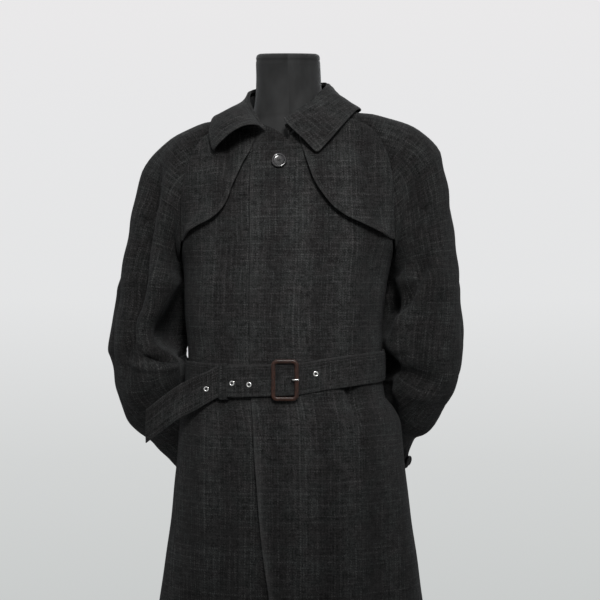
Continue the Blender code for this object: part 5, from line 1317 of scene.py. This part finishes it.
# painted shade: a near-black disc inside each eyelet stands for the shade in the hole through the belt
hole_shade = Nodes("eyelet_hole_shade")
hole_shade.set(Base_Color=hole_shade.mix(hole_shade.noise(hole_shade.add("ShaderNodeTexCoord").outputs["Object"], 900.0), (0.002, 0.002, 0.002, 1), (0.010, 0.010, 0.010, 1)), Roughness=0.9)
EYELETS = (("eyelet_1", 0.0485, 0.0042), ("eyelet_2", -0.0655, -0.0060), ("eyelet_3", -0.0950, -0.0030), ("eyelet_4", -0.1400, -0.0020))
for name, x, raised in EYELETS:
    p, nn = on_strap(x)
    p = p + up * raised
    s, u, _ = frame_of(nn)
    grid = []
    for t in np.linspace(0, 2 * np.pi, 40, endpoint=False):
        d = math.cos(t) * s + math.sin(t) * u
        grid.append([p + nn * (EYELET_WIRE * (0.55 + 0.75 * math.sin(a))) + d * (EYELET_R + EYELET_WIRE * 1.35 * math.cos(a))
                     for a in np.linspace(0, 2 * np.pi, 14, endpoint=False)])
    pieces[name] = tube_mesh(name + "_metal", [grid], mat_bright, closed=True)
    # the dark disc inside the ring is painted shade of the hole
    hole = tube_mesh(name + "_hole", [ring_points(p, nn, [(EYELET_R - 0.0004, 0.00002), (EYELET_R - 0.0003, 0.00022), (EYELET_R * 0.6, 0.00016), (EYELET_R * 0.2, 0.00014)], 24)], hole_shade.material)
    hole.parent = pieces[name]

# ---------------------------------------------------------------- buttons
BUTTON_X, BUTTON_Z = -0.0145, 1.3878
BUTTON_PROFILE = [(0.60, 0.00), (0.86, 0.06), (0.965, 0.22), (1.0, 0.48), (0.99, 0.72), (0.95, 0.90), (0.89, 0.985), (0.83, 1.0), (0.77, 0.965),
                  (0.72, 0.86), (0.68, 0.74), (0.62, 0.68), (0.50, 0.655), (0.34, 0.645), (0.18, 0.64), (0.05, 0.64)]


def button(name, centre, axis, r, t, sides, material=mat_button):
    """Dished button with four holes and crossed thread."""
    body_ob = tube_mesh(name, [ring_points(centre, axis, [(q * r, h * t) for q, h in BUTTON_PROFILE], sides)], material)
    s, u, n = frame_of(axis)
    grids = []
    for a in (45, 135):
        d = math.cos(math.radians(a)) * s + math.sin(math.radians(a)) * u
        e = np.cross(n, d)
        for k in (-1, 0, 1):
            run = []
            for w in np.linspace(-1, 1, 9):
                c = np.asarray(centre) + d * w * r * 0.26 + e * k * r * 0.045 + n * (t * 0.66 + t * 0.10 * (1 - w * w) - t * 0.06 * (abs(w) > 0.95))
                run.append([c + r * 0.030 * (math.cos(q) * e + math.sin(q) * n) for q in np.linspace(0, 2 * np.pi, 8, endpoint=False)])
            grids.append(run)
    sewn = tube_mesh(name + "_thread", grids, mat_thread)
    sewn.parent = body_ob
    return body_ob


bp = angle_at(BUTTON_X, BUTTON_Z)
face_at, fnb = body(bp, BUTTON_Z), body_normal(bp, BUTTON_Z)
pieces["button_front"] = button("button_front_gloss", face_at + fnb * (FLY_LIFT + 0.0012), fnb, BUTTON_R, BUTTON_T, 64)
for name, key in (("button_cuff_left", "sleeve_left"), ("button_cuff_right", "sleeve_right")):
    g, gn = sleeves[key]
    r, c = len(g) - 1 - TUBE_STEPS // 2, SLEEVE_COLS_N // 2 + (-SLEEVE_COLS_N // 32 if key == "sleeve_left" else SLEEVE_COLS_N // 6)
    pieces[name] = button(name + "_horn", g[r, c] + gn[r, c] * 0.0006, gn[r, c], CUFF_BUTTON_R, 0.0052, 40, mat_cuff_button)

# ---------------------------------------------------------------- form and stand
zf = np.concatenate([np.linspace(0.800, 0.830, 10)[:-1], np.linspace(0.830, 1.380, 70)[:-1], np.linspace(1.380, 1.580, 52)[:-1], np.linspace(1.580, 1.592, 10)])
SIDES = 112
psi = np.linspace(0, 2 * np.pi, SIDES, endpoint=False)
rings = []
for z in zf:
    r = ring_r(form_t, psi, np.full_like(psi, z))
    seam = np.zeros_like(psi)
    if z < 1.47:
        for deg in (52, 90, 180, 270, 308):
            off = ((np.degrees(psi) - deg + 180) % 360 - 180) / 180 * np.pi * 0.13
            seam -= 0.0010 * np.exp(-((off / 0.004) ** 2))
    seam -= 0.0009 * math.exp(-(((z - 1.474) / 0.003) ** 2)) + 0.0008 * math.exp(-(((z - 1.580) / 0.0022) ** 2))
    r = r + seam
    p = np.stack([form_t["xc"](z) + r * np.sin(psi), -r * np.cos(psi), np.full_like(psi, z)], axis=1)
    w = smooth((1.56 - z) / 0.10)
    p = p * (1 - w) + lean(p) * w
    p[:, 2] += NECK_CAP_SLOPE * p[:, 1] * smooth((z - 1.50) / 0.085)
    rings.append(p)
for k in (0.8, 0.6, 0.4, 0.2):
    top_c = rings[len(zf) - 1].mean(axis=0)
    rings.append(top_c + (rings[len(zf) - 1] - top_c) * k)
for k in (0.8, 0.6, 0.4, 0.2):
    c = rings[0].mean(axis=0) if k == 0.8 else c
    base_ring = rings[0] if k == 0.8 else base_ring
    rings.insert(0, c + (base_ring - c) * k)
pieces["dress_form"] = tube_mesh("dress_form_cover", [np.array(rings)], mat_form)
base_profile = [(0.05, 0.0), (0.10, 0.0), (BASE_R - 0.004, 0.0), (BASE_R - 0.0012, 0.0008), (BASE_R, 0.0026), (BASE_R, BASE_T - 0.005), (BASE_R - 0.0012, BASE_T - 0.0022),
                (BASE_R - 0.0045, BASE_T), (0.120, BASE_T + 0.0018), (0.060, BASE_T + 0.0032), (0.042, BASE_T + 0.0042), (0.034, BASE_T + 0.0085), (0.027, BASE_T + 0.016),
                (0.0235, BASE_T + 0.0215), (0.0200, BASE_T + 0.0250), (POLE_R + 0.004, BASE_T + 0.0260), (POLE_R + 0.001, BASE_T + 0.0260)]
pieces["stand_base"] = tube_mesh("stand_base_painted", [ring_points((0, 0, 0), (0, 0, 1), base_profile, 128)], mat_paint)
pole_profile = [(POLE_R * 0.5, BASE_T + 0.0263), (POLE_R, BASE_T + 0.0263)] + [(POLE_R, z) for z in np.linspace(BASE_T + 0.03, FORM_FOOT_Z - 0.041, 24)] + [
    (POLE_R + 0.0006, FORM_FOOT_Z - 0.0400), (0.0235, FORM_FOOT_Z - 0.0325), (0.0256, FORM_FOOT_Z - 0.0305), (0.026, FORM_FOOT_Z - 0.0285), (0.026, FORM_FOOT_Z - 0.0015),
    (0.0255, FORM_FOOT_Z - 0.0003), (0.012, FORM_FOOT_Z - 0.0003)]
pieces["stand_pole"] = tube_mesh("stand_pole_metal", [ring_points((0, 0, 0), (0, 0, 1), pole_profile, 64)], mat_pole)

sewing = stitches("edge_stitching", stitch_lines, mat_thread)

# ---------------------------------------------------------------- frame table
for node, ob in pieces.items():
    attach(ob, "root")
    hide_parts(node)
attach(sewing, "root")

# ---------------------------------------------------------------- floor, light and camera
floor_mat = Nodes("pale_floor")
at = floor_mat.add("ShaderNodeTexCoord").outputs["Object"]
grain = floor_mat.noise(at, 40.0, 4.0, 0.6)
floor_mat.set(Base_Color=floor_mat.mix(grain, (0.60, 0.605, 0.61, 1), (0.64, 0.645, 0.65, 1)), Roughness=0.85, Specular_IOR_Level=0.2)
far_off = floor_mat.ramp(floor_mat.add("ShaderNodeVectorMath", {0: at}, operation="LENGTH").outputs["Value"], 0.7, 2.3)
clear = floor_mat.add("ShaderNodeBsdfTransparent")
blend = floor_mat.add("ShaderNodeMixShader", {0: far_off, 1: floor_mat.shader.outputs[0], 2: clear.outputs[0]})
floor_mat.tree.links.new(blend.outputs[0], floor_mat.tree.nodes["Material Output"].inputs["Surface"])
radii = np.concatenate([[0.02], np.linspace(0.2, 2.4, 22)])
t = np.linspace(0, 2 * np.pi, 96, endpoint=False)
fv = np.concatenate([np.stack([r * np.cos(t), r * np.sin(t), 0 * t - 0.0004], axis=1) for r in radii])
ff = [(i * 96 + j, i * 96 + (j + 1) % 96, (i + 1) * 96 + (j + 1) % 96, (i + 1) * 96 + j) for i in range(len(radii) - 1) for j in range(96)]
me = bpy.data.meshes.new("floor")
me.from_pydata([tuple(x) for x in fv], [], [q[::-1] for q in ff] + [tuple(range(96))])
me.materials.append(floor_mat.material)
floor = bpy.data.objects.new("floor", me)
bpy.context.scene.collection.objects.link(floor)

scene = bpy.context.scene
scene.view_settings.view_transform = "Standard"
scene.view_settings.look = "None"
world = bpy.data.worlds.new("studio")
scene.world = world
world.use_nodes = True
wt = world.node_tree
wt.nodes.clear()
# the room seen behind: a little darker towards the floor; the room as light: bright above, dim below
SEEN_COLS = ("height", "r", "g", "b")
SEEN = [(0.39, 0.575, 0.592, 0.588), (0.445, 0.650, 0.662, 0.660), (0.50, 0.775, 0.780, 0.785), (0.56, 0.800, 0.800, 0.808), (0.61, 0.825, 0.815, 0.822)]
LIT = [(0.0, 0.03, 0.03, 0.03), (0.42, 0.07, 0.07, 0.07), (0.58, 0.20, 0.201, 0.203), (1.0, 0.78, 0.783, 0.786)]


def room(rows):
    ramp = wt.nodes.new("ShaderNodeValToRGB")
    for _ in range(len(rows) - 2):
        ramp.color_ramp.elements.new(0.5)
    for e, (h, r, g, b) in zip(ramp.color_ramp.elements, rows):
        e.position, e.color = h, (r, g, b, 1)
    wt.links.new(height_node.outputs[0], ramp.inputs[0])
    bg = wt.nodes.new("ShaderNodeBackground")
    wt.links.new(ramp.outputs[0], bg.inputs["Color"])
    return bg


ray = wt.nodes.new("ShaderNodeTexCoord")
parts = wt.nodes.new("ShaderNodeSeparateXYZ")
wt.links.new(ray.outputs["Generated"], parts.inputs[0])
height_node = wt.nodes.new("ShaderNodeMath")
height_node.operation = "MULTIPLY_ADD"
height_node.inputs[1].default_value, height_node.inputs[2].default_value = 0.5, 0.5
wt.links.new(parts.outputs[2], height_node.inputs[0])
out = wt.nodes.new("ShaderNodeOutputWorld")
seen, lit = room(SEEN), room(LIT)
path_node, mixer = wt.nodes.new("ShaderNodeLightPath"), wt.nodes.new("ShaderNodeMixShader")
shiny = wt.nodes.new("ShaderNodeMath")
shiny.operation = "MULTIPLY_ADD"
shiny.inputs[1].default_value = 0.6
wt.links.new(path_node.outputs["Is Glossy Ray"], shiny.inputs[0])
wt.links.new(path_node.outputs["Is Camera Ray"], shiny.inputs[2])
wt.links.new(shiny.outputs[0], mixer.inputs[0])
wt.links.new(lit.outputs[0], mixer.inputs[1])
wt.links.new(seen.outputs[0], mixer.inputs[2])
wt.links.new(mixer.outputs[0], out.inputs[0])


def softbox(name, at, aim, size, watts, colour=(1, 1, 1), spread_deg=180):
    light = bpy.data.lights.new(name, "AREA")
    light.shape = "RECTANGLE"
    light.size, light.size_y = size
    light.energy = watts
    light.color = colour
    light.spread = math.radians(spread_deg)
    ob = bpy.data.objects.new(name, light)
    s, u, n = frame_of(np.array(at) - np.array(aim))
    ob.location = at
    ob.rotation_euler = Matrix((s, u, n)).transposed().to_euler()
    ob.visible_camera = False
    scene.collection.objects.link(ob)
    return ob


softbox("key", (0.20, -2.00, 2.30), (0.00, -0.1, 1.21), (0.4, 0.6), 0.96, (1.0, 0.992, 0.98), 25)
softbox("back_fill", (0.5, 2.2, 2.4), (0.0, 0.0, 1.3), (1.6, 1.2), 22.0, (0.98, 0.99, 1.0))

cam_data = bpy.data.cameras.new("camera")
cam_data.sensor_width = 36.0
cam_data.lens = 86.66
cam = bpy.data.objects.new("camera", cam_data)
cam.location = (0.0216 + PLAN_SHIFT[0], -2.6 + PLAN_SHIFT[1], 1.149)
cam.rotation_euler = (math.pi / 2, 0, 0)
scene.collection.objects.link(cam)
scene.camera = cam

bpy.context.view_layer.update()
